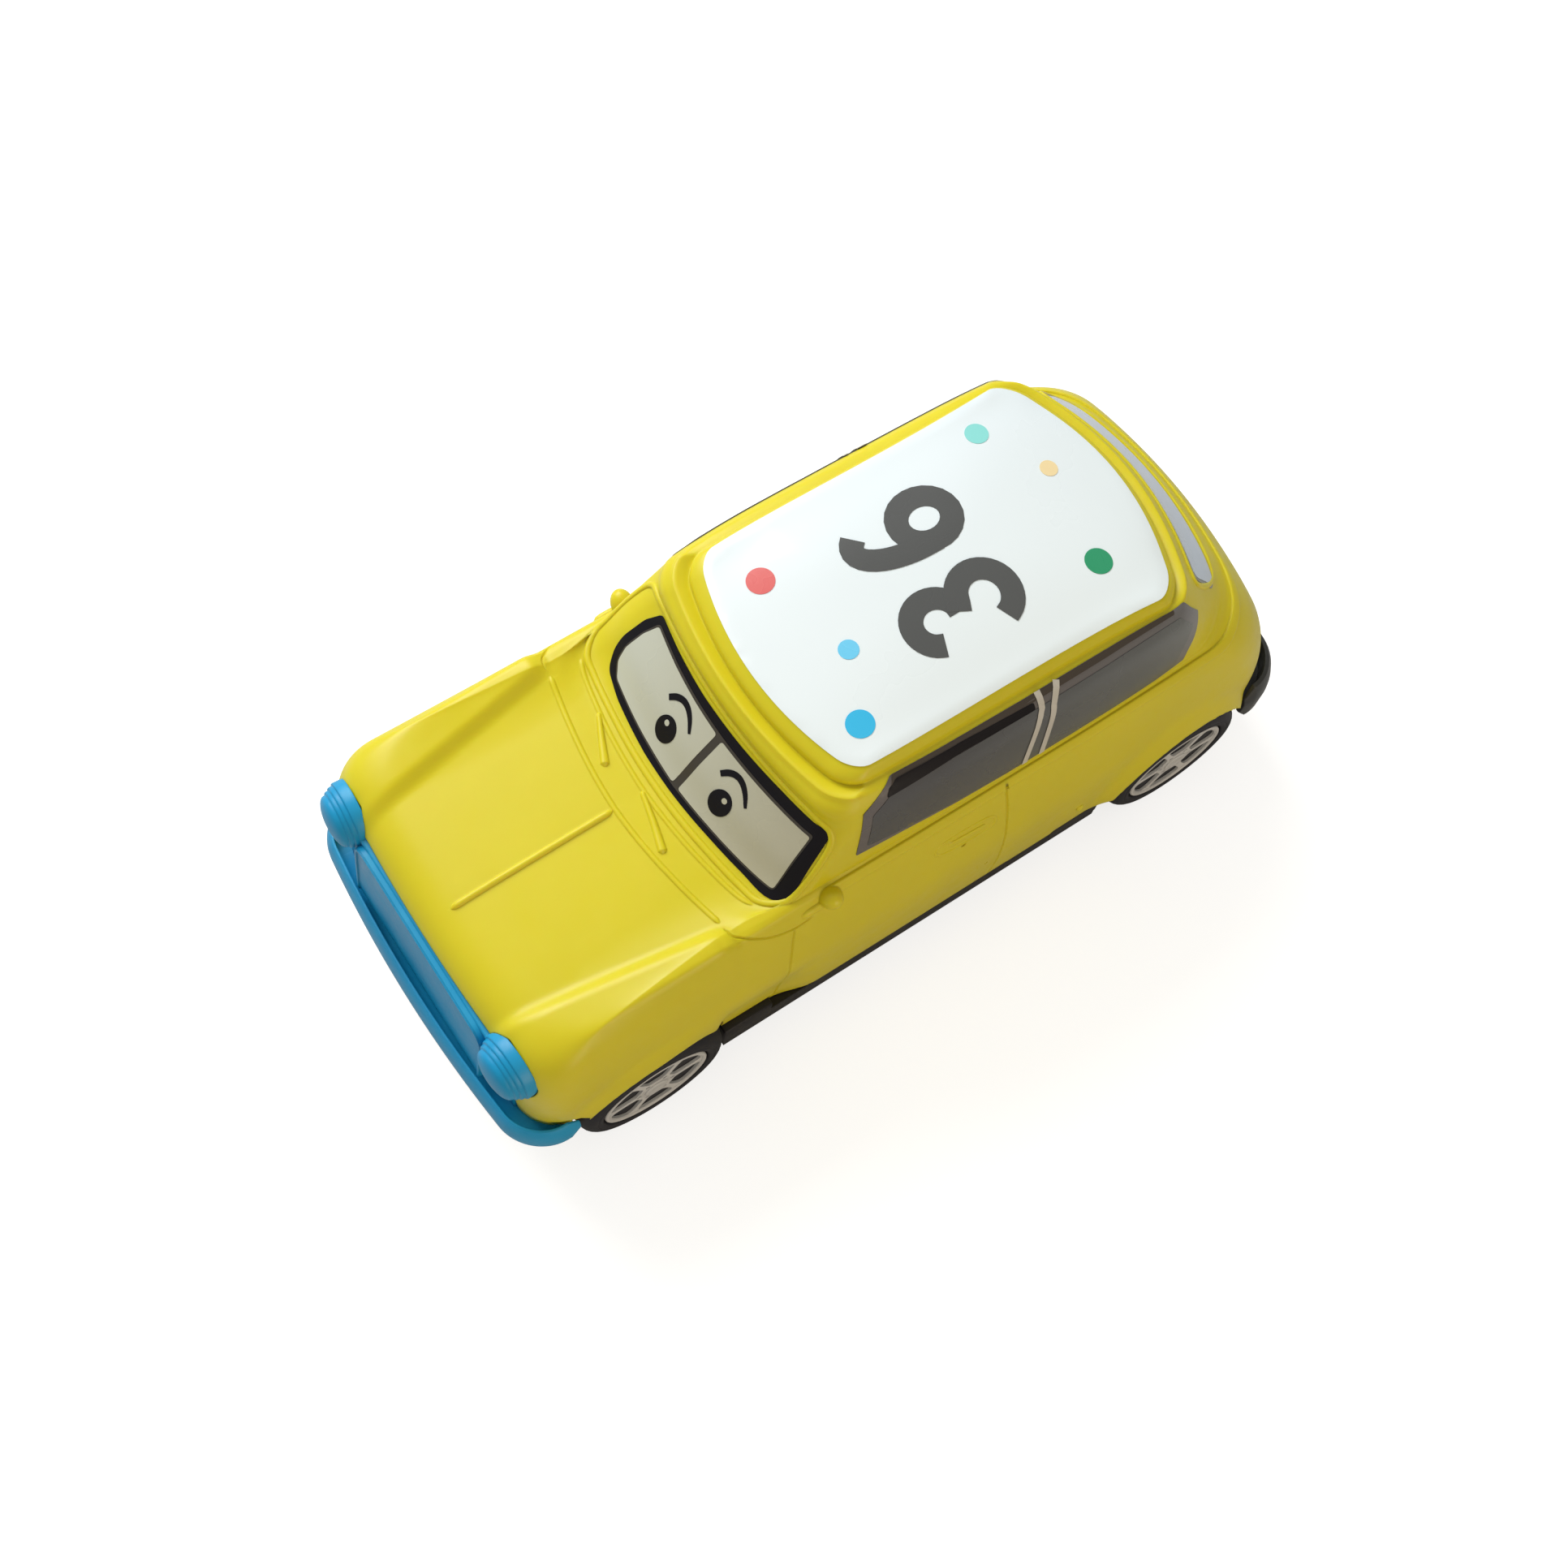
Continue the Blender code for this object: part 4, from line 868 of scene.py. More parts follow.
def film(slot, name, rgb, *, rough, vary, to=None, axis=0, start=0.0, end=1.0, coat=0.4,
         wrinkle=0.0, spec=0.5):
    """Printed label: ink that can drift to a second colour between start and end
    mm on one axis, a dot screen and gloss.  Returns the material and its slot."""
    material, tree, shader = new_material(name)
    link = tree.links.new
    place = add(tree, "ShaderNodeTexCoord").outputs["Object"]
    cloud = add(tree, "ShaderNodeTexNoise", Scale=70.0, Detail=3.0)
    screen = add(tree, "ShaderNodeTexNoise", Scale=2600.0, Detail=1.0)
    for node in (cloud, screen):
        link(place, node.inputs["Vector"])
    cloud, screen = cloud.outputs[0], screen.outputs[0]
    colour = (*rgb, 1)
    if to is not None:
        split = add(tree, "ShaderNodeSeparateXYZ")
        link(place, split.inputs[0])
        drift = remap(tree, split.outputs[axis], (start * MM, end * MM), (0, 1))
        colour = mix_rgb(tree, drift, colour, (*to, 1))
    colour = mix_rgb(tree, remap(tree, cloud, (0.35, 0.65), (0, vary * 6)),
                     colour, scaled(rgb, 0.93))
    colour = mix_rgb(tree, remap(tree, screen, (0.45, 0.7), (0, vary * 3)),
                     colour, scaled(rgb, 1.06, 0.01))
    link(colour, shader.inputs["Base Color"])
    link(remap(tree, cloud, (0.3, 0.7), (rough - 0.04, rough + 0.07)),
         shader.inputs["Roughness"])
    bump = add(tree, "ShaderNodeBump", Strength=0.04 + wrinkle, Distance=0.0001)
    link(cloud if wrinkle else screen, bump.inputs["Height"])
    link(bump.outputs[0], shader.inputs["Normal"])
    set_inputs(shader, {"Coat Weight": coat, "Coat Roughness": 0.08,
                        "Specular IOR Level": spec})
    return material, slot


# -------------------------------------------------------------------- materials
YELLOW = plastic("yellow_plastic", (0.695, 0.60, 0.016), rough=0.34, vary=0.02, grain=1400,
                 bump=0.035, edge=0.10, round_mm=0.3, scratches=0.10, sss=0.25, spec=0.35)
BLUE = plastic("blue_plastic", (0.006, 0.31, 0.60), rough=0.36, vary=0.05, grain=1300,
               bump=0.05, edge=0.22, round_mm=0.3, scratches=0.1, tint=(0.02, 0.38, 0.64),
               spec=0.35)
BLACK = plastic("black_plastic", (0.009, 0.008, 0.011), rough=0.45, vary=0.1, grain=1100,
                bump=0.10, edge=0.12, round_mm=0.25, spec=0.3)
BUMPER = plastic("bumper_plastic", (0.022, 0.024, 0.024), rough=0.36, vary=0.1, grain=1100,
                 bump=0.08, edge=0.3, round_mm=0.3)
TYRE = plastic("tyre_plastic", (0.010, 0.010, 0.016), rough=0.5, vary=0.12, grain=800,
               bump=0.18, edge=0.2, round_mm=0.25, spec=0.35)
HUB = plastic("hub_plastic", (0.56, 0.56, 0.56), rough=0.36, vary=0.06, grain=1500,
              bump=0.05, edge=0.4, round_mm=0.12, spec=0.6)
STEEL = plastic("steel", (0.60, 0.60, 0.62), rough=0.28, vary=0.05, grain=2200,
                bump=0.08, edge=0.3, metallic=1.0, round_mm=0.1, scratches=0.2)
SPRING = plastic("spring_steel", (0.30, 0.30, 0.34), rough=0.3, vary=0.08, grain=2200,
                 bump=0.06, edge=0.3, metallic=1.0, round_mm=0.05)
BRASS = plastic("brass", (0.78, 0.56, 0.22), rough=0.3, vary=0.06, grain=2000,
                bump=0.06, edge=0.2, metallic=1.0, round_mm=0.08)
NYLON = plastic("gear_plastic", (0.80, 0.79, 0.74), rough=0.45, vary=0.04, grain=1500,
                bump=0.05, edge=0.1, round_mm=0.08, sss=0.15)
CASE = plastic("case_plastic", (0.055, 0.06, 0.065), rough=0.45, vary=0.1, grain=1000,
               bump=0.10, edge=0.2, round_mm=0.2)

WHITE = film("label_white", "label_white", (0.77, 0.85, 0.89), rough=0.3, vary=0.006,
             to=(0.80, 0.87, 0.89), axis=0, start=-20, end=15, coat=0.2, wrinkle=0.02)
INK = film("label_dark", "ink_dark_grey", (0.080, 0.083, 0.082), rough=0.25, vary=0.03,
           coat=0.35)
PRINT_BLACK = film("label_dark", "ink_black", (0.006, 0.005, 0.008), rough=0.3, vary=0.02,
                   coat=0.03, spec=0.2)
PANE = film("label_pale", "ink_pane", (0.56, 0.58, 0.50), rough=0.28, vary=0.01,
            to=(0.45, 0.43, 0.32), axis=0, start=-18, end=20, coat=0.25)
PANE_LINE = film("label_dark", "ink_pane_line", (0.045, 0.037, 0.028), rough=0.3, vary=0.02,
                 coat=0.2)
DARK = film("label_dark", "ink_window", (0.062, 0.062, 0.066), rough=0.27, vary=0.03,
            to=(0.115, 0.125, 0.125), axis=1, start=0, end=46, coat=0.3)
DARK_EDGE = film("label_dark", "ink_window_edge", (0.12, 0.105, 0.105), rough=0.3, vary=0.03,
                 to=(0.16, 0.16, 0.17), axis=1, start=0, end=46, coat=0.2)
# Brownish top band of the side window: painted light for the light the film catches where it turns
# up over the roof edge, not print.
WINDOW_TOP_PAINTED_LIGHT = film("label_dark", "ink_window_top_painted_light", (0.055, 0.042, 0.032), rough=0.3, vary=0.03,
                coat=0.2)
STRIPE = film("label_pale", "ink_stripe", (0.58, 0.55, 0.49), rough=0.3, vary=0.02, coat=0.2)
SILVER = film("label_silver", "label_silver", (0.54, 0.64, 0.78), rough=0.26, vary=0.02,
              to=(0.62, 0.69, 0.78), axis=0, start=22, end=-22, coat=0.4)
SILVER_LINE = film("label_silver", "ink_silver_line", (0.24, 0.25, 0.24), rough=0.3, vary=0.02,
                   coat=0.2)


# ------------------------------------------------------------------- body shell
def body_ridges():
    """All raised lines and knobs of the body, as one object."""
    # (level, along) places from the nose or tail centre round the left side
    screen = [(9.86, 0.0), (9.86, 0.08), (9.86, 0.16), (9.84, 0.235), (9.83, 0.285),
              (10.1, 0.322), (11.3, 0.327), (11.85, 0.305), (12.1, 0.265), (12.14, 0.20),
              (12.12, 0.10), (12.1, 0.0)]
    sill = [(9.62, 0.0), (9.63, 0.10), (9.64, 0.18), (9.65, 0.25), (9.67, 0.285)]
    rear = [(10.05, 1.0), (10.05, 0.90), (10.1, 0.80), (10.35, 0.752), (11.2, 0.742),
            (12.3, 0.75), (12.75, 0.78), (12.95, 0.85), (13.0, 1.0)]
    belt = [(6.85, along) for along in (0.452, 0.50, 0.55, 0.60, 0.64, 0.67, 0.70, 0.73,
                                        0.77, 0.83, 0.90, 0.96)]
    raised = [
        ridge("hood_line", [(0, -64.7, 40.5), (0, -51, 41.7), (0, -38.4, 42.3)], 1.0, 0.5),
        ridge("cowl", [(-22.3, -35.0, 43), (-14.1, -36.6, 42.3), (-7, -37.6, 42.3),
                       (0, -38.0, 42.3), (7, -37.6, 42.3), (14.1, -36.6, 42.3),
                       (22.3, -35.0, 43)], 0.8, 0.26, taper=0.8),
        ridge("wiper_1", [(-14.1, -31.9, 42.3), (-10.7, -33.6, 42.2), (-6.2, -35.7, 42.3)],
              0.7, 0.5, end_width=1.3, taper=0.6),
        ridge("wiper_2", [(-0.4, -33.3, 42.3), (4.6, -34.5, 42.3), (9.4, -35.9, 42.3)],
              0.7, 0.5, end_width=1.3, taper=0.6),
        ridge("screen_frame", surface_points(screen + other_side(screen[-2:0:-1])),
              1.0, 0.34, closed=True),
        ridge("screen_sill", surface_points(other_side(sill[:0:-1]) + sill), 0.7, 0.22),
        ridge("rear_frame", surface_points(rear + other_side(rear[-2:0:-1])),
              0.9, 0.3, closed=True),
        ridge("belt", surface_points(belt + [(6.85, 1.0)] + other_side(belt[::-1])),
              2.0, 0.34, flat=0.9),
    ]
    dot = [(0, -0.4), (0.7, -0.4), (0.7, 0.15), (0.45, 0.4), (0, 0.5)]
    knob = []
    for i in range(17):
        angle = math.pi * i / 16 - math.pi / 2
        knob.append((max(0.0, 1.75 * math.cos(angle)), 2.3 * math.sin(angle)))
    for s, side in SIDES:
        raised += [
            # outline of the handle plate, the handle, and a moulded dot by the sill
            ridge(f"handle_{side}", [(s * 28.4, -0.4, 37.9), (s * 28.5, 8.4, 37.7),
                                     (s * 29.0, 9.0, 34.6), (s * 28.8, 0.1, 35.2)],
                  0.5, 0.12, closed=True),
            ridge(f"handle_bar_{side}", [(s * 28.7, 1.0, 36.9), (s * 28.8, 7.9, 36.2)],
                  1.0, 0.2, flat=0.5, taper=0.6),
            revolve(f"dot_{side}", dot, (s, 0, 0), (s * 30.25, 29.1, 18.6), 20),
            # door mirror and its foot
            revolve(f"mirror_{side}", knob, (s * 0.75, 0.1, 0.62), (s * 27.2, -19.6, 42.2), 28),
            ridge(f"mirror_foot_{side}", [(s * 27.3, -24.5, 41.2), (s * 27.3, -20.0, 41.6)],
                  1.5, 0.55, taper=1.8),
        ]
    return union_all(raised)


def body_grooves():
    """Cutters for the door lines and locks, as one object."""
    cuts = []
    # name, width, depth, points on the left side
    lines = (
        ("shut", 0.45, 0.3, ((23.4, -35.1, 43.0), (25.0, -34.6, 43.6), (26.4, -33.0, 43.0),
                             (27.5, -29.7, 41.0), (28.0, -26.0, 39.9), (27.9, -22.5, 40.0))),
        ("door_front", 0.45, 0.3, ((27.9, -25.9, 39.6), (29.1, -26.6, 35.8),
                                   (30.3, -27.3, 26.6), (30.3, -27.2, 16.0),
                                   (29.6, -27.2, 10.5))),
        ("door_rear", 0.5, 0.34, ((26.2, 11.6, 43.6), (27.4, 11.6, 41.2), (29.0, 12.0, 35.0),
                                  (30.3, 12.3, 25.9), (30.3, 12.7, 17.5), (29.5, 12.9, 10.5))),
    )
    lock = [(0, -0.35), (0.45, -0.35), (0.45, 0.6), (0, 0.6)]
    for s, side in SIDES:
        for name, width, depth, points in lines:
            cuts.append(ridge(f"{name}_{side}", [(s * x, y, z) for x, y, z in points],
                              width, depth, groove=True))
        cuts.append(revolve(f"lock_{side}", lock, (s, 0, 0.15), (s * 28.9, 4.0, 34.2), 16))
    return union_all(cuts)


def body_openings():
    """Cutters for arches, lamp seats, sill steps, nose pocket and bumper recesses."""
    tools = []
    arch = [(0, 20), (ARCH_R, 20), (ARCH_R, 40), (0, 40)]
    seat_r = LAMP_R + 0.06
    lamp_seat = [(0, 0), (seat_r, 0), (seat_r, 13), (0, 13)]
    for s, _ in SIDES:
        for y in (FRONT_AXLE_Y, REAR_AXLE_Y):
            tools.append(revolve(f"arch_{s}_{int(y)}", arch, (s, 0, 0), (0, y, AXLE_Z), 128))
        tools.append(revolve(f"lamp_seat_{s}", lamp_seat, (0, -1, 0),
                             (s * LAMP_X, -67.4, LAMP_Z), 64))
        for start, end, top in ((-38.0, -27.5, 11.5), (-21.0, 17.5, 9.5), (26.3, 38.0, 11.2)):
            tools.append(side_block(f"sill_{s}_{int(start)}", s, (26, 33), (start, end), (5, top)))
    tools.append(block("nose_pocket", (-23.7, -82, 12.4), (23.7, -67.8, 36.5), 0.8))
    section = [(-2.4, 15.2), (0.3, 15.2), (0.3, 21.6), (-2.4, 21.6)]
    tools.append(band("seat_front", FRONT_BUMPER, 0.3700, section))
    section = [(-2.3, 12.8), (0.3, 12.8), (0.3, 23.0), (-2.3, 23.0)]
    tools.append(band("seat_rear", REAR_BUMPER, 0.652, section, at_nose=False))
    return tools


def build_body():
    shell = make_object("body_moulding", *shell_mesh())
    combine(shell, body_ridges())
    combine(shell, body_grooves(), "DIFFERENCE")
    for tool in body_openings():
        combine(shell, tool, "DIFFERENCE")
    # screw bosses inside
    for y, top in ((-61.0, 40.2), (61.0, 40.4)):
        profile = [(1.4, 6.5), (3.0, 6.5), (2.8, top), (1.4, top)]
        for s, _ in SIDES:
            combine(shell, revolve("boss", profile, (0, 0, 1), (s * 15.0, y, 0), 24))
    finish_piece(shell, YELLOW, "car", ("body_shell",), sharp=36)


# ------------------------------------------------------ front trim, rear bumper
def grille_face(points):
    """Place on the face of the grille, which leans back a little towards its top."""
    y = -71.7 + (points[:, 1] - 21.5) * (1.2 / 14.1)
    return np.stack([points[:, 0], y, points[:, 1]], -1), facing(points, (0, -0.9964, 0.0848))


def grille_loop(inset):
    half, top, corner = GRILLE_HALF - inset, GRILLE_TOP - inset, 3.0 - inset
    return rounded([(-half, 20.6), (half, 20.6), (half, top), (-half, top)],
                   [0.2, 0.2, corner, corner], 8)


def lamp_profile():
    """(radius, height) of a head lamp: stepped rim and domed lens."""
    profile = [(0, -2.2), (LAMP_R, -2.2), (LAMP_R, -0.65), (LAMP_R - 0.08, -0.5),
               (LAMP_R - 0.32, -0.42), (LAMP_R - 0.38, 0.1), (LAMP_R - 0.46, 0.25),
               (LAMP_R - 0.7, 0.34), (LAMP_R - 0.76, 0.75), (LAMP_R - 0.85, 0.9),
               (4.12, 1.0), (DOME_R, 1.2)]
    for i in range(1, 10):
        angle = math.pi / 2 * i / 10
        profile.append((DOME_R * math.cos(angle), 1.2 + 1.45 * math.sin(angle)))
    return profile + [(0, 2.65)]


def build_front_trim():
    bar = [(-1.9, 15.7), (-0.7, 15.6), (-0.2, 15.9), (0.0, 16.6), (0.0, 18.2), (-0.1, 18.9),
           (-0.3, 19.8), (-0.62, 20.6), (-0.95, 21.05), (-1.3, 21.1), (-1.35, 18.7),
           (-1.9, 18.4)]
    trim = union_all([
        band("front_bumper_and_grille", FRONT_BUMPER, 0.3655, bar),
        block("core", (-20.0, -72.7, 15.9), (20.0, -68.25, 18.4), 0.3),
        block("plate", (-23.4, -69.7, 12.7), (23.4, -68.2, 36.05), 0.3),
        prism("grille", [grille_loop(0.0)], grille_face, 0.0, 2.1, 3.0),
        prism("grille_edge", [grille_loop(0.12), grille_loop(0.55)], grille_face, 0.22, 0.5, 3.0),
        *web("front_web", FRONT_BUMPER, 0.14, 0.350, 15.8, 18.4),
        *[revolve(f"lamp_{s}", lamp_profile(), (s * 0.06, -1, 0.03),
                  (s * LAMP_X, LAMP_Y, LAMP_Z), 72) for s, _ in SIDES],
    ])
    finish_piece(trim, BLUE, "car", ("front_trim",), sharp=34)


def build_rear_bumper():
    bar = [(-1.9, 13.2), (-0.7, 13.2), (-0.2, 13.7), (0.0, 14.6), (0.0, 18.4), (-0.15, 19.6),
           (-0.6, 21.2), (-1.2, 22.2), (-1.9, 22.4)]
    rear = union_all([band("rear_bumper_bar", REAR_BUMPER, 0.656, bar, at_nose=False),
                      *web("rear_web", REAR_BUMPER, 0.68, 1.0, 15.9, 18.2)])
    finish_piece(rear, BUMPER, "car", ("rear_bumper",), sharp=34)


# ----------------------------------------------------------------------- wheels
# (radius, distance out from the wheel's outer face)
TYRE_PROFILE = [
    (9.2, -0.45), (9.35, -0.12), (9.6, 0.0), (10.1, 0.0), (10.25, -0.12), (10.4, -0.02),
    (10.9, -0.06), (11.35, -0.28), (11.8, -0.62), (12.15, -1.05), (12.4, -1.6),
    (TYRE_R, -2.3), (TYRE_R, -3.0), (TYRE_R - 0.12, -3.1), (TYRE_R - 0.12, -3.3),
    (TYRE_R, -3.4), (TYRE_R, -6.2), (TYRE_R - 0.15, -7.0), (TYRE_R - 0.6, -7.7),
    (TYRE_R - 1.2, -WHEEL_W), (TYRE_R - 3.0, -WHEEL_W), (TYRE_R - 3.0, -WHEEL_W + 3.4),
    (3.2, -WHEEL_W + 3.4), (3.2, -WHEEL_W), (1.1, -WHEEL_W), (1.1, -0.85), (9.2, -0.85)]
HUB_RIM = [(8.15, -HUB_THICK), (8.9, -HUB_THICK), (8.9, 0.05), (8.75, 0.22), (8.4, 0.24),
           (8.15, 0.05)]
HUB_CAP = [(0, -HUB_THICK), (2.0, -HUB_THICK), (2.0, 0.12), (1.8, 0.26), (1.3, 0.3),
           (1.1, 0.18), (0, 0.16)]
# radius, and width of the spoke there
SPOKE = ((3.45, 1.3), (4.6, 1.05), (6.3, 1.05), (7.3, 1.35), (7.95, 2.4))


def polar(radius, angle):
    return radius * math.cos(angle), radius * math.sin(angle)


def hub_disc(name, s, y):
    """Disc with six windows between spokes, six small holes, a rim and a cap."""
    loops = [circle(0, 0, 8.9, 96)]
    edge = [(radius, math.pi / 6 - width / 2 / radius) for radius, width in SPOKE]
    for k in range(6):
        middle = math.pi / 3 * (k + 0.5)
        window = [polar(radius, middle - half) for radius, half in edge]
        window += [polar(8.0, middle + turn) for turn in (-0.2, 0.0, 0.2)]
        window += [polar(radius, middle + half) for radius, half in edge[::-1]]
        loops.append(rounded(window, 0.3, 3))
        loops.append(circle(*polar(2.95, math.pi / 3 * k), 0.4, 16))

    def place(points):
        spots = np.stack([np.full(len(points), s * HUB_X), y + points[:, 0],
                          AXLE_Z + points[:, 1]], -1)
        return spots, facing(points, (s, 0, 0))

    axis, centre = (s, 0, 0), (s * HUB_X, y, AXLE_Z)
    return union_all([prism(name, loops, place, 0.0, HUB_THICK, 1.4),
                      revolve("rim", HUB_RIM, axis, centre, 96),
                      revolve("cap", HUB_CAP, axis, centre, 48)])


def build_wheels():
    for end, y in (("front", FRONT_AXLE_Y), ("rear", REAR_AXLE_Y)):
        for s, side in SIDES:
            tyre = revolve(f"tyre_{end}_{side}", TYRE_PROFILE, (s, 0, 0),
                           (s * WHEEL_OUT, y, AXLE_Z), 112)
            finish_piece(tyre, TYRE, f"{end}_wheels", (f"wheel_{end}_{side}",), sharp=32)
            hub = hub_disc(f"hub_{end}_{side}", s, y)
            finish_piece(hub, HUB, f"{end}_wheels", (f"hub_disc_{end}_{side}",), sharp=30)


# ---------------------------------------------------------------------- chassis
def floor_sheet(name, x0, y0, x1, y1, corner, lift, thick):
    """Rounded rectangle on the underside; lift is downwards."""
    loop = rounded([(x0, y0), (x1, y0), (x1, y1), (x0, y1)], corner, 4)
    return prism(name, [loop], level_plane(FLOOR_Z, -1), lift, thick, 8.0)


def build_chassis():
    """Frame chassis with sunk panels, ribs, vents and a raised motor cover below."""
    chassis = bpy.data.objects.new("chassis_moulding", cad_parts["chassis"].data.copy())
    bpy.context.scene.collection.objects.link(chassis)
    chassis.data.transform(Matrix.Scale(1 / MM, 4))
    bm = bmesh.new()
    bm.from_mesh(chassis.data)
    bmesh.ops.remove_doubles(bm, verts=bm.verts, dist=1e-3)
    bm.to_mesh(chassis.data)
    bm.free()
    for name, *rectangle in (("panel_a", -26, -33, 26, -4, 3.0),
                             ("panel_b", -26, 3, -12.5, 33, 2.0),
                             ("panel_c", 12.5, 3, 26, 33, 2.0)):
        combine(chassis, floor_sheet(name, *rectangle, 0.3, 0.8), "DIFFERENCE")
    rib_z = (FLOOR_Z - 0.02, FLOOR_Z + 1.2)
    for i in range(6):
        x = -20 + i * 8
        combine(chassis, block(f"rib_{i}", (x - 0.5, -32.4, rib_z[0]),
                               (x + 0.5, -4.6, rib_z[1]), 0.15, 2))
    for i in range(5):
        y = 6.5 + i * 5.6
        for s, _ in SIDES:
            combine(chassis, side_block(f"bar_{i}_{s}", s, (13.2, 25.4), (y - 0.5, y + 0.5),
                                        rib_z, 0.15, 2))
    combine(chassis, floor_sheet("cover", -9.6, 24.0, 9.6, 58.4, 2.5, 0.35, 1.0))
    for s, _ in SIDES:
        for name, y_range, top in (("sill_block", (-36.6, -27.8), 11.3),
                                   ("sill_rear", (26.6, 36.6), 10.9)):
            combine(chassis, side_block(f"{name}_{s}", s, (26.8, 29.3), y_range, (6.0, top),
                                        0.25, 2))
    for i in range(4):
        vent = floor_sheet(f"vent_{i}", -6.0, 31 + i * 6.0, 6.0, 32.6 + i * 6.0, 0.7, 0.6, 1.5)
        combine(chassis, vent, "DIFFERENCE")
    finish_piece(chassis, BLACK, "car", ("chassis",), sharp=34)


def build_screw(node):
    """Screw with its head down, a ringed shank and a cross recess."""
    lo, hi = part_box(node)
    x, y = (lo[0] + hi[0]) / 2 / MM, (lo[1] + hi[1]) / 2 / MM
    bottom, top = lo[2] / MM, hi[2] / MM
    head = (hi[0] - lo[0]) / 2 / MM
    shank = head * 0.44
    profile = [(0, bottom), (head * 0.45, bottom + 0.02), (head * 0.78, bottom + 0.12),
               (head * 0.95, bottom + 0.3), (head, bottom + 0.55), (head, bottom + 0.8),
               (shank, bottom + 0.82)]
    z = bottom + 1.2
    while z < top - 2.0:
        profile += [(shank, z), (shank * 0.82, z + 0.3), (shank, z + 0.6)]
        z += 0.6
    profile += [(shank, top - 1.6), (0.1, top - 0.1), (0, top)]
    screw = revolve(f"screw_{node}", profile, (0, 0, 1), (x, y, 0), 32)
    for a, b in ((head * 0.5, 0.22), (0.22, head * 0.5)):
        slot = block("slot", (x - a, y - b, bottom - 0.5), (x + a, y + b, bottom + 0.55))
        combine(screw, slot, "DIFFERENCE")
    finish_piece(screw, STEEL, "car", (node,), sharp=34)


# ----------------------------------------------------------------------- labels
def label(name, loops, place, lift, ink, nodes=(), thick=0.05, step=0.9):
    """Sheet of film or ink that stands lift mm proud of the body."""
    material, slot = ink
    finish_piece(prism(name, loops, place, lift, thick, step), material, "car", nodes,
                 sharp=30)


def stroke(points, width, closed=False, step=0.6):
    """Outline of a line of even width."""
    line = spline(points, step, closed)
    along = unit(spans(line, closed))
    offset = np.stack([-along[:, 1], along[:, 0]], -1) * width / 2
    if closed:
        return [line + offset, line - offset]
    return [np.concatenate([line + offset, (line - offset)[::-1]])]


def arc(x, y, radius_x, radius_y, start, end, count=12):
    angles = [math.radians(start + (end - start) * i / count) for i in range(count + 1)]
    return [(x + radius_x * math.cos(a), y + radius_y * math.sin(a)) for a in angles]


def label_roof():
    """White film on the raised roof panel, coloured dots and the race number."""
    edge = body_point(17.03, np.linspace(0, 1, 90))[:, :2]
    loop = np.concatenate([edge, edge[-2:0:-1] * (-1, 1)])
    label("roof_sticker", [loop], drop, 0.20, WHITE, ("roof_label",), thick=0.24)
    # colour name, colour, x, y, radius
    for name, rgb, x, y, radius in (
            ("red", (0.70, 0.12, 0.115), -11.2, -7.4, 2.06),
            ("sky", (0.15, 0.60, 0.89), 4.1, -3.2, 1.49),
            ("blue", (0.035, 0.49, 0.82), 13.9, -8.0, 2.06),
            ("teal", (0.26, 0.71, 0.68), -14.9, 32.6, 1.78),
            ("orange", (0.87, 0.70, 0.38), -4.9, 38.3, 1.37),
            ("green", (0.02, 0.31, 0.14), 11.1, 35.1, 2.09)):
        ink = film("label_white", f"ink_{name}", rgb, rough=0.25, vary=0.01)
        label(f"roof_dot_{name}", [circle(x, y, radius, 48)], drop, 0.26, ink, step=0.8)
    # two numerals that read from the car's left to its right, each in two strokes:
    # name, x of the numeral's origin, lift, closed, line in its own x and y
    for name, origin_x, lift, closed, line in (
            ("a_top", 12.2, 0.27, False, arc(5.0, 13.9, 3.6, 3.75, 165, -75) + [(4.7, 10.2)]),
            ("a_low", 12.2, 0.30, False, [(4.7, 10.3)] + arc(5.0, 5.75, 4.15, 4.0, 75, -165)),
            ("b_bowl", -2.0, 0.27, True, arc(5.1, 5.9, 3.65, 4.15, 0, 345, 22)),
            ("b_stem", -2.0, 0.30, False, [(1.45, 6.2)] + arc(5.6, 7.6, 4.15, 10.1, 172, 62))):
        loops = [np.stack([origin_x - loop[:, 0], 23.4 - loop[:, 1]], -1)
                 for loop in stroke(line, 3.5, closed)]
        label(f"roof_numeral_{name}", loops, drop, lift, INK, step=0.8)


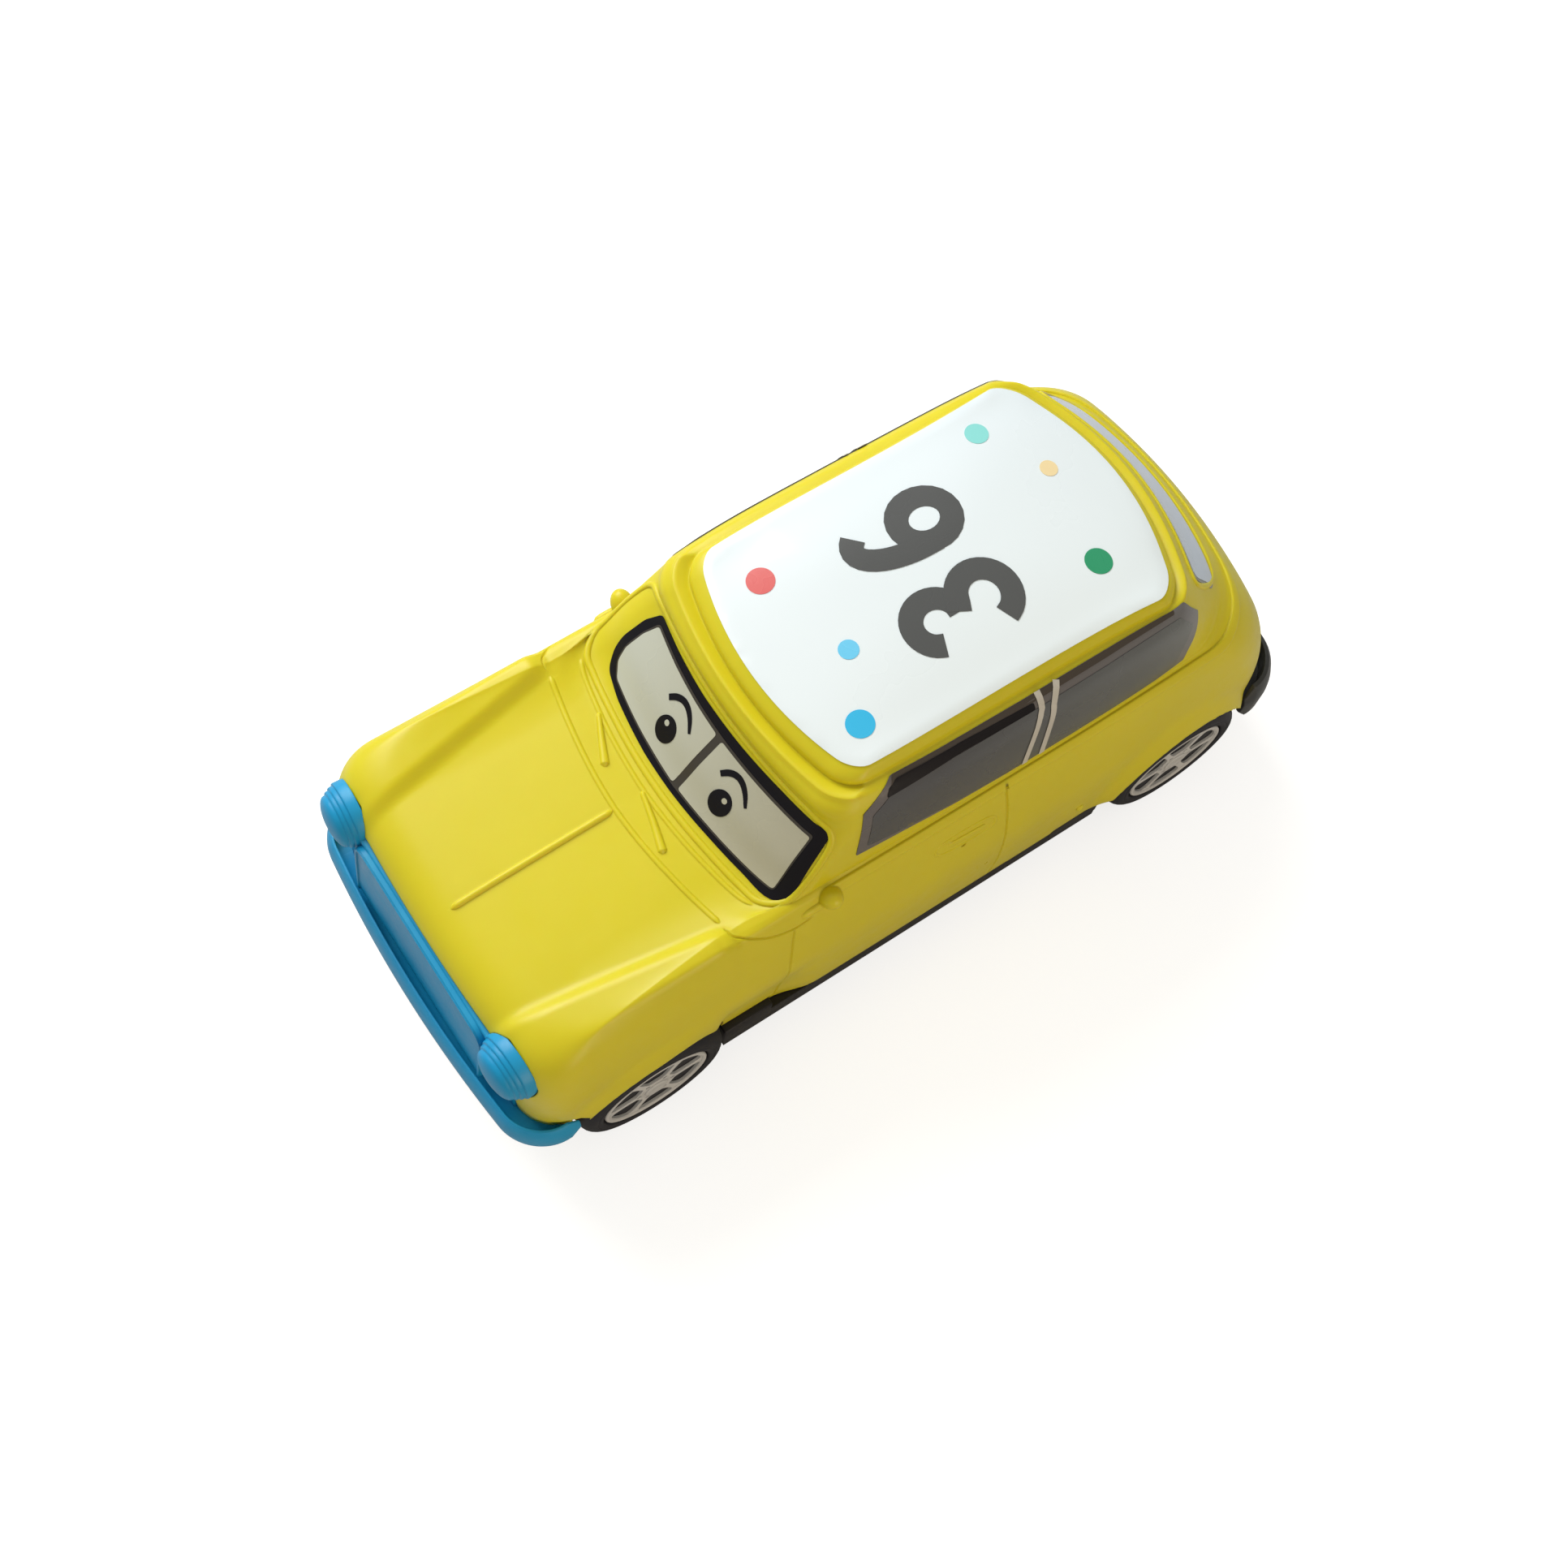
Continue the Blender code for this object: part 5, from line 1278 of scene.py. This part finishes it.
def label_windscreen():
    """Dark film with a keyline, two pale panes and a pair of eyes with brows."""
    chart = Chart((9.6, 12.9), (0.0, 0.36), axis=0, measured_at=0.1)
    # outlines as (x, level)
    rim = [(-20.3, 10.85), (-20.1, 10.5), (-18.6, 10.2), (-14.0, 10.1), (-4.8, 10.05),
           (2.1, 10.05), (11.1, 10.07), (18.2, 10.06), (25.0, 9.96), (22.5, 11.93),
           (13.8, 11.93), (4.7, 11.88), (-4.7, 11.86), (-11.7, 11.9), (-17.6, 11.98),
           (-19.3, 11.5)]
    rim_radii = [1.2, 1.2, 1.0, 0.8, 0.8, 0.8, 0.8, 0.8, 0.15, 0.6] + [0.8] * 6
    label("windscreen_sticker", [rounded(chart.lay(rim), rim_radii)], chart, 0.12,
          PRINT_BLACK, thick=0.18)
    keyline = [(-18.9, 10.85), (-18.6, 10.5), (-16.6, 10.27), (-9.6, 10.22), (1.2, 10.17),
               (9.4, 10.19), (17.6, 10.19), (22.6, 10.20), (21.2, 11.66), (13.5, 11.66),
               (2.9, 11.66), (-4.7, 11.68), (-10.3, 11.72), (-16.9, 11.8), (-18.2, 11.35)]
    keyline_radii = [1.0, 1.0, 0.8, 0.8, 0.8, 0.8, 0.8, 0.6, 0.6] + [0.8] * 6
    label("windscreen_keyline", [rounded(chart.lay(keyline), keyline_radii)], chart, 0.18,
          PANE_LINE)
    left = [(2.6, 10.22), (9.4, 10.235), (17.4, 10.235), (22.4, 10.24), (21.0, 11.60),
            (13.5, 11.60), (2.6, 11.60)]
    right = [(-18.6, 10.85), (-18.25, 10.53), (-16.4, 10.31), (-9.6, 10.265), (1.3, 10.215),
             (1.3, 11.60), (-4.7, 11.62), (-10.3, 11.66), (-16.7, 11.74), (-17.9, 11.35)]
    for side, pane, nodes in (("left", left, ("windscreen_label",)), ("right", right, ())):
        label(f"windscreen_pane_{side}", [rounded(chart.lay(pane), 0.5, 4)], chart, 0.24,
              PANE, nodes)
    # side, eye x, shift of its light, brow as three (x, level) places
    for side, eye_x, light_shift, brow in (
            ("left", 8.6, 0.35, ((5.7, 11.2), (8.4, 11.42), (11.8, 11.12))),
            ("right", -4.9, -0.45, ((-7.9, 11.22), (-5.1, 11.44), (-1.7, 11.16)))):
        (_, eye_up), (_, light_up) = chart.lay([(eye_x, 10.78), (eye_x, 10.78, 0.85)])
        label(f"eye_{side}", [circle(eye_x, eye_up, 1.95, 40, 2.15)], chart, 0.30,
              PRINT_BLACK, step=0.8)
        label(f"eye_light_{side}", [circle(eye_x + light_shift, light_up, 0.45, 20)], chart,
              0.35, PANE, thick=0.04, step=0.5)
        start, middle, end = (np.array(p) for p in chart.lay(brow))
        control = 2 * middle - (start + end) / 2
        line = spline([bezier(start, control, end, t) for t in np.linspace(0, 1, 7)], 0.3)
        along = unit(spans(line))
        swell = 0.50 * np.sin(np.linspace(1.1, math.pi - 0.45, len(line)))[:, None]
        half = swell * np.stack([-along[:, 1], along[:, 0]], -1)
        label(f"brow_{side}", [np.concatenate([line + half, (line - half)[::-1]])], chart,
              0.30, PRINT_BLACK, step=0.5)


# Side windows: outlines as (y, level[, extra distance up]).
SIDE_EDGE = (
    (-14.7, 10.62), (-6.6, 10.42), (2.8, 10.12), (11.8, 9.95), (20.0, 9.9), (30.0, 9.85),
    (40.0, 9.82), (45.2, 9.95), (46.9, 12.1), (43.4, 14.25), (41.2, 14.62), (28.0, 14.55),
    (14.1, 14.5), (-0.2, 14.6), (-7.9, 14.7), (-9.6, 13.9), (-13.4, 12.75))
SIDE_GLASS = (
    (-12.9, 10.80), (-6.6, 10.56), (2.8, 10.26), (11.8, 10.05), (20.0, 10.0), (30.0, 9.95),
    (40.0, 9.92), (43.4, 10.0), (45.0, 12.0), (42.0, 13.6, -0.2), (28.0, 13.35, -0.1),
    (15.0, 13.3, -0.1), (2.9, 13.4, -0.1), (-8.2, 13.6, -0.2), (-12.0, 12.3))
# Outline of the painted-light top band, where the film catches light at the roof edge.
SIDE_TOP_PAINTED_LIGHT = (
    (-8.6, 13.75), (2.9, 14.15), (15.5, 13.85), (28.0, 13.9), (41.0, 14.1), (41.2, 14.58),
    (28.0, 14.5), (14.1, 14.45), (-0.2, 14.55), (-7.7, 14.65))
SIDE_SHADE = (
    (-9.6, 13.15), (2.9, 13.42), (15.5, 13.3), (15.5, 13.82), (3.2, 14.12), (-7.4, 14.2),
    (-8.9, 13.7))


def label_side(s, side):
    """Dark side window with a brownish top band of painted light where the film turns up to the
    roof; the one on the right ends lower and has no top band.
    """
    chart = Chart((9.0, 15.2), (0.30, 0.76), axis=1, measured_at=0.5, side=s,
                  top=15.0 if s > 0 else 13.1)
    label(f"side_window_edge_{side}", [rounded(chart.lay(SIDE_EDGE), 0.35, 3)], chart, 0.12,
          DARK_EDGE, (f"side_window_label_{side}",), thick=0.20)
    label(f"side_window_glass_{side}", [rounded(chart.lay(SIDE_GLASS), 0.4, 3)], chart, 0.18,
          DARK)
    if s > 0:
        # painted light: the brownish top band stands for light caught where the film turns up over
        # the roof edge
        label(f"side_window_top_painted_light_{side}", [rounded(chart.lay(SIDE_TOP_PAINTED_LIGHT), 0.3, 3)], chart, 0.18,
              WINDOW_TOP_PAINTED_LIGHT)
        label(f"side_window_shade_{side}", [rounded(chart.lay(SIDE_SHADE), 0.3, 3)], chart,
              0.24, PRINT_BLACK)
    # y of each pillar stripe at its foot, bend and top
    for k, (foot, bend, top) in enumerate(((15.0, 16.5, 16.6), (18.1, 18.7, 20.0))):
        line = chart.lay([(foot, 10.0), (foot * 0.35 + bend * 0.65, 12.2), (bend, 13.1),
                          (top, 14.5)])
        label(f"pillar_stripe_{k}_{side}", stroke(line, 1.0, step=0.8), chart, 0.30, STRIPE,
              step=0.8)


def label_rear():
    """Silver rear window with a darker edge line; outlines as (x, level)."""
    chart = Chart((9.5, 13.2), (0.66, 1.0), axis=0, measured_at=0.9)
    outer = [(-19.6, 10.5), (0, 10.45), (19.6, 10.5), (18.6, 12.35), (9.5, 12.62),
             (0, 12.66), (-9.5, 12.62), (-18.6, 12.35)]
    label("rear_window_line", [rounded(chart.lay(outer), 1.5)], chart, 0.12, SILVER_LINE,
          ("rear_window_label",), thick=0.18)
    inner = [(-19.1, 10.56), (0, 10.51), (19.1, 10.56), (18.1, 12.28), (9.5, 12.56),
             (0, 12.60), (-9.5, 12.56), (-18.1, 12.28)]
    label("rear_window_glass", [rounded(chart.lay(inner), 1.3)], chart, 0.18, SILVER)


build_body()
build_front_trim()
build_rear_bumper()
build_wheels()
build_chassis()
for screw_node in ("body_screw_front_left", "body_screw_front_right", "body_screw_rear_left",
                   "body_screw_rear_right", "motor_screw_front", "motor_screw_rear"):
    build_screw(screw_node)
label_roof()
label_windscreen()
for side_sign, side_name in SIDES:
    label_side(side_sign, side_name)
label_rear()

# Frame pieces that are kept as they are and only get a material.
KEPT = {"front_axle": STEEL, "rear_axle": STEEL, "axle_pinion": BRASS, "idler_gear": NYLON,
        "spring_gear": NYLON, "idler_shaft": STEEL, "spring_arbor": STEEL,
        "mainspring": SPRING, "motor_case_left": CASE, "motor_case_right": CASE}
for node_name, finish in KEPT.items():
    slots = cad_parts[node_name].data.materials
    slots.clear()
    slots.append(finish)

# -------------------------------------------------------------- stage and light
scene = bpy.context.scene
scene.view_settings.view_transform = "Standard"
scene.view_settings.look = "None"


def build_floor():
    """Paper floor that glows only where the camera sees it."""
    bm = bmesh.new()
    bmesh.ops.create_grid(bm, x_segments=2, y_segments=2, size=4.0)
    floor = link_mesh("floor", bm, bpy.data.meshes.new("floor"))
    floor.location = (0, 0, -0.0001)
    material, tree, shader = new_material("floor_paper")
    noise = add(tree, "ShaderNodeTexNoise", Scale=6.0, Detail=3.0)
    colour = mix_rgb(tree, remap(tree, noise.outputs[0], (0.3, 0.7), (0, 0.4)),
                     (0.52, 0.52, 0.52, 1), (0.50, 0.50, 0.505, 1))
    tree.links.new(colour, shader.inputs["Base Color"])
    set_inputs(shader, {"Roughness": 0.85, "Specular IOR Level": 0.1,
                        "Emission Color": (1, 1, 1, 1)})
    seen = add(tree, "ShaderNodeLightPath").outputs["Is Camera Ray"]
    tree.links.new(remap(tree, seen, (0.0, 1.0), (0.0, 0.74)),
                   shader.inputs["Emission Strength"])
    floor.data.materials.append(material)


def build_world():
    """Surroundings that turn from cool at -X to warm at +X."""
    world = bpy.data.worlds.new("studio")
    scene.world = world
    world.use_nodes = True
    tree = world.node_tree
    background = tree.nodes["Background"]
    place = add(tree, "ShaderNodeTexCoord")
    split = add(tree, "ShaderNodeSeparateXYZ")
    tree.links.new(place.outputs["Generated"], split.inputs[0])
    colour = mix_rgb(tree, remap(tree, split.outputs[0], (-0.9, 0.9), (0.0, 1.0)),
                     (0.88, 0.95, 1.0, 1), (0.66, 0.58, 0.45, 1))
    tree.links.new(colour, background.inputs["Color"])
    background.inputs["Strength"].default_value = 0.52


def area_light(name, *, place, size, power, rgb):
    """Square light aimed at the middle of the car."""
    light = bpy.data.lights.new(name, "AREA")
    light.energy, light.size, light.color = power, size, rgb
    lamp = bpy.data.objects.new(name, light)
    lamp.location = place
    aim = Vector((0, 0, 0.03)) - Vector(place)
    lamp.rotation_euler = aim.to_track_quat("-Z", "Y").to_euler()
    scene.collection.objects.link(lamp)


def build_camera():
    data = bpy.data.cameras.new("camera")
    camera = bpy.data.objects.new("camera", data)
    scene.collection.objects.link(camera)
    # the camera's own x, y and z axes
    right = (0.5600972, 0.8236223, 0.0890921)
    up = (-0.7806423, 0.4887325, 0.3895358)
    back = (0.2772882, -0.2877270, 0.9166921)
    pose = Matrix((right, up, back)).transposed().to_4x4()
    pose.translation = (0.0919, -0.09739, 0.30893)
    camera.matrix_world = pose
    data.sensor_width = 36.0
    data.lens = 46.6322981
    data.shift_x = -0.0109109731
    data.shift_y = 0.00201345756
    data.clip_start = 0.01
    data.clip_end = 20
    scene.camera = camera


build_floor()
build_world()
area_light("key", place=(-0.42, -0.04, 0.42), size=0.40, power=3.5, rgb=(1.0, 0.985, 0.96))
area_light("fill", place=(0.60, -0.06, 0.20), size=0.36, power=1.25, rgb=(1.0, 0.84, 0.64))
build_camera()
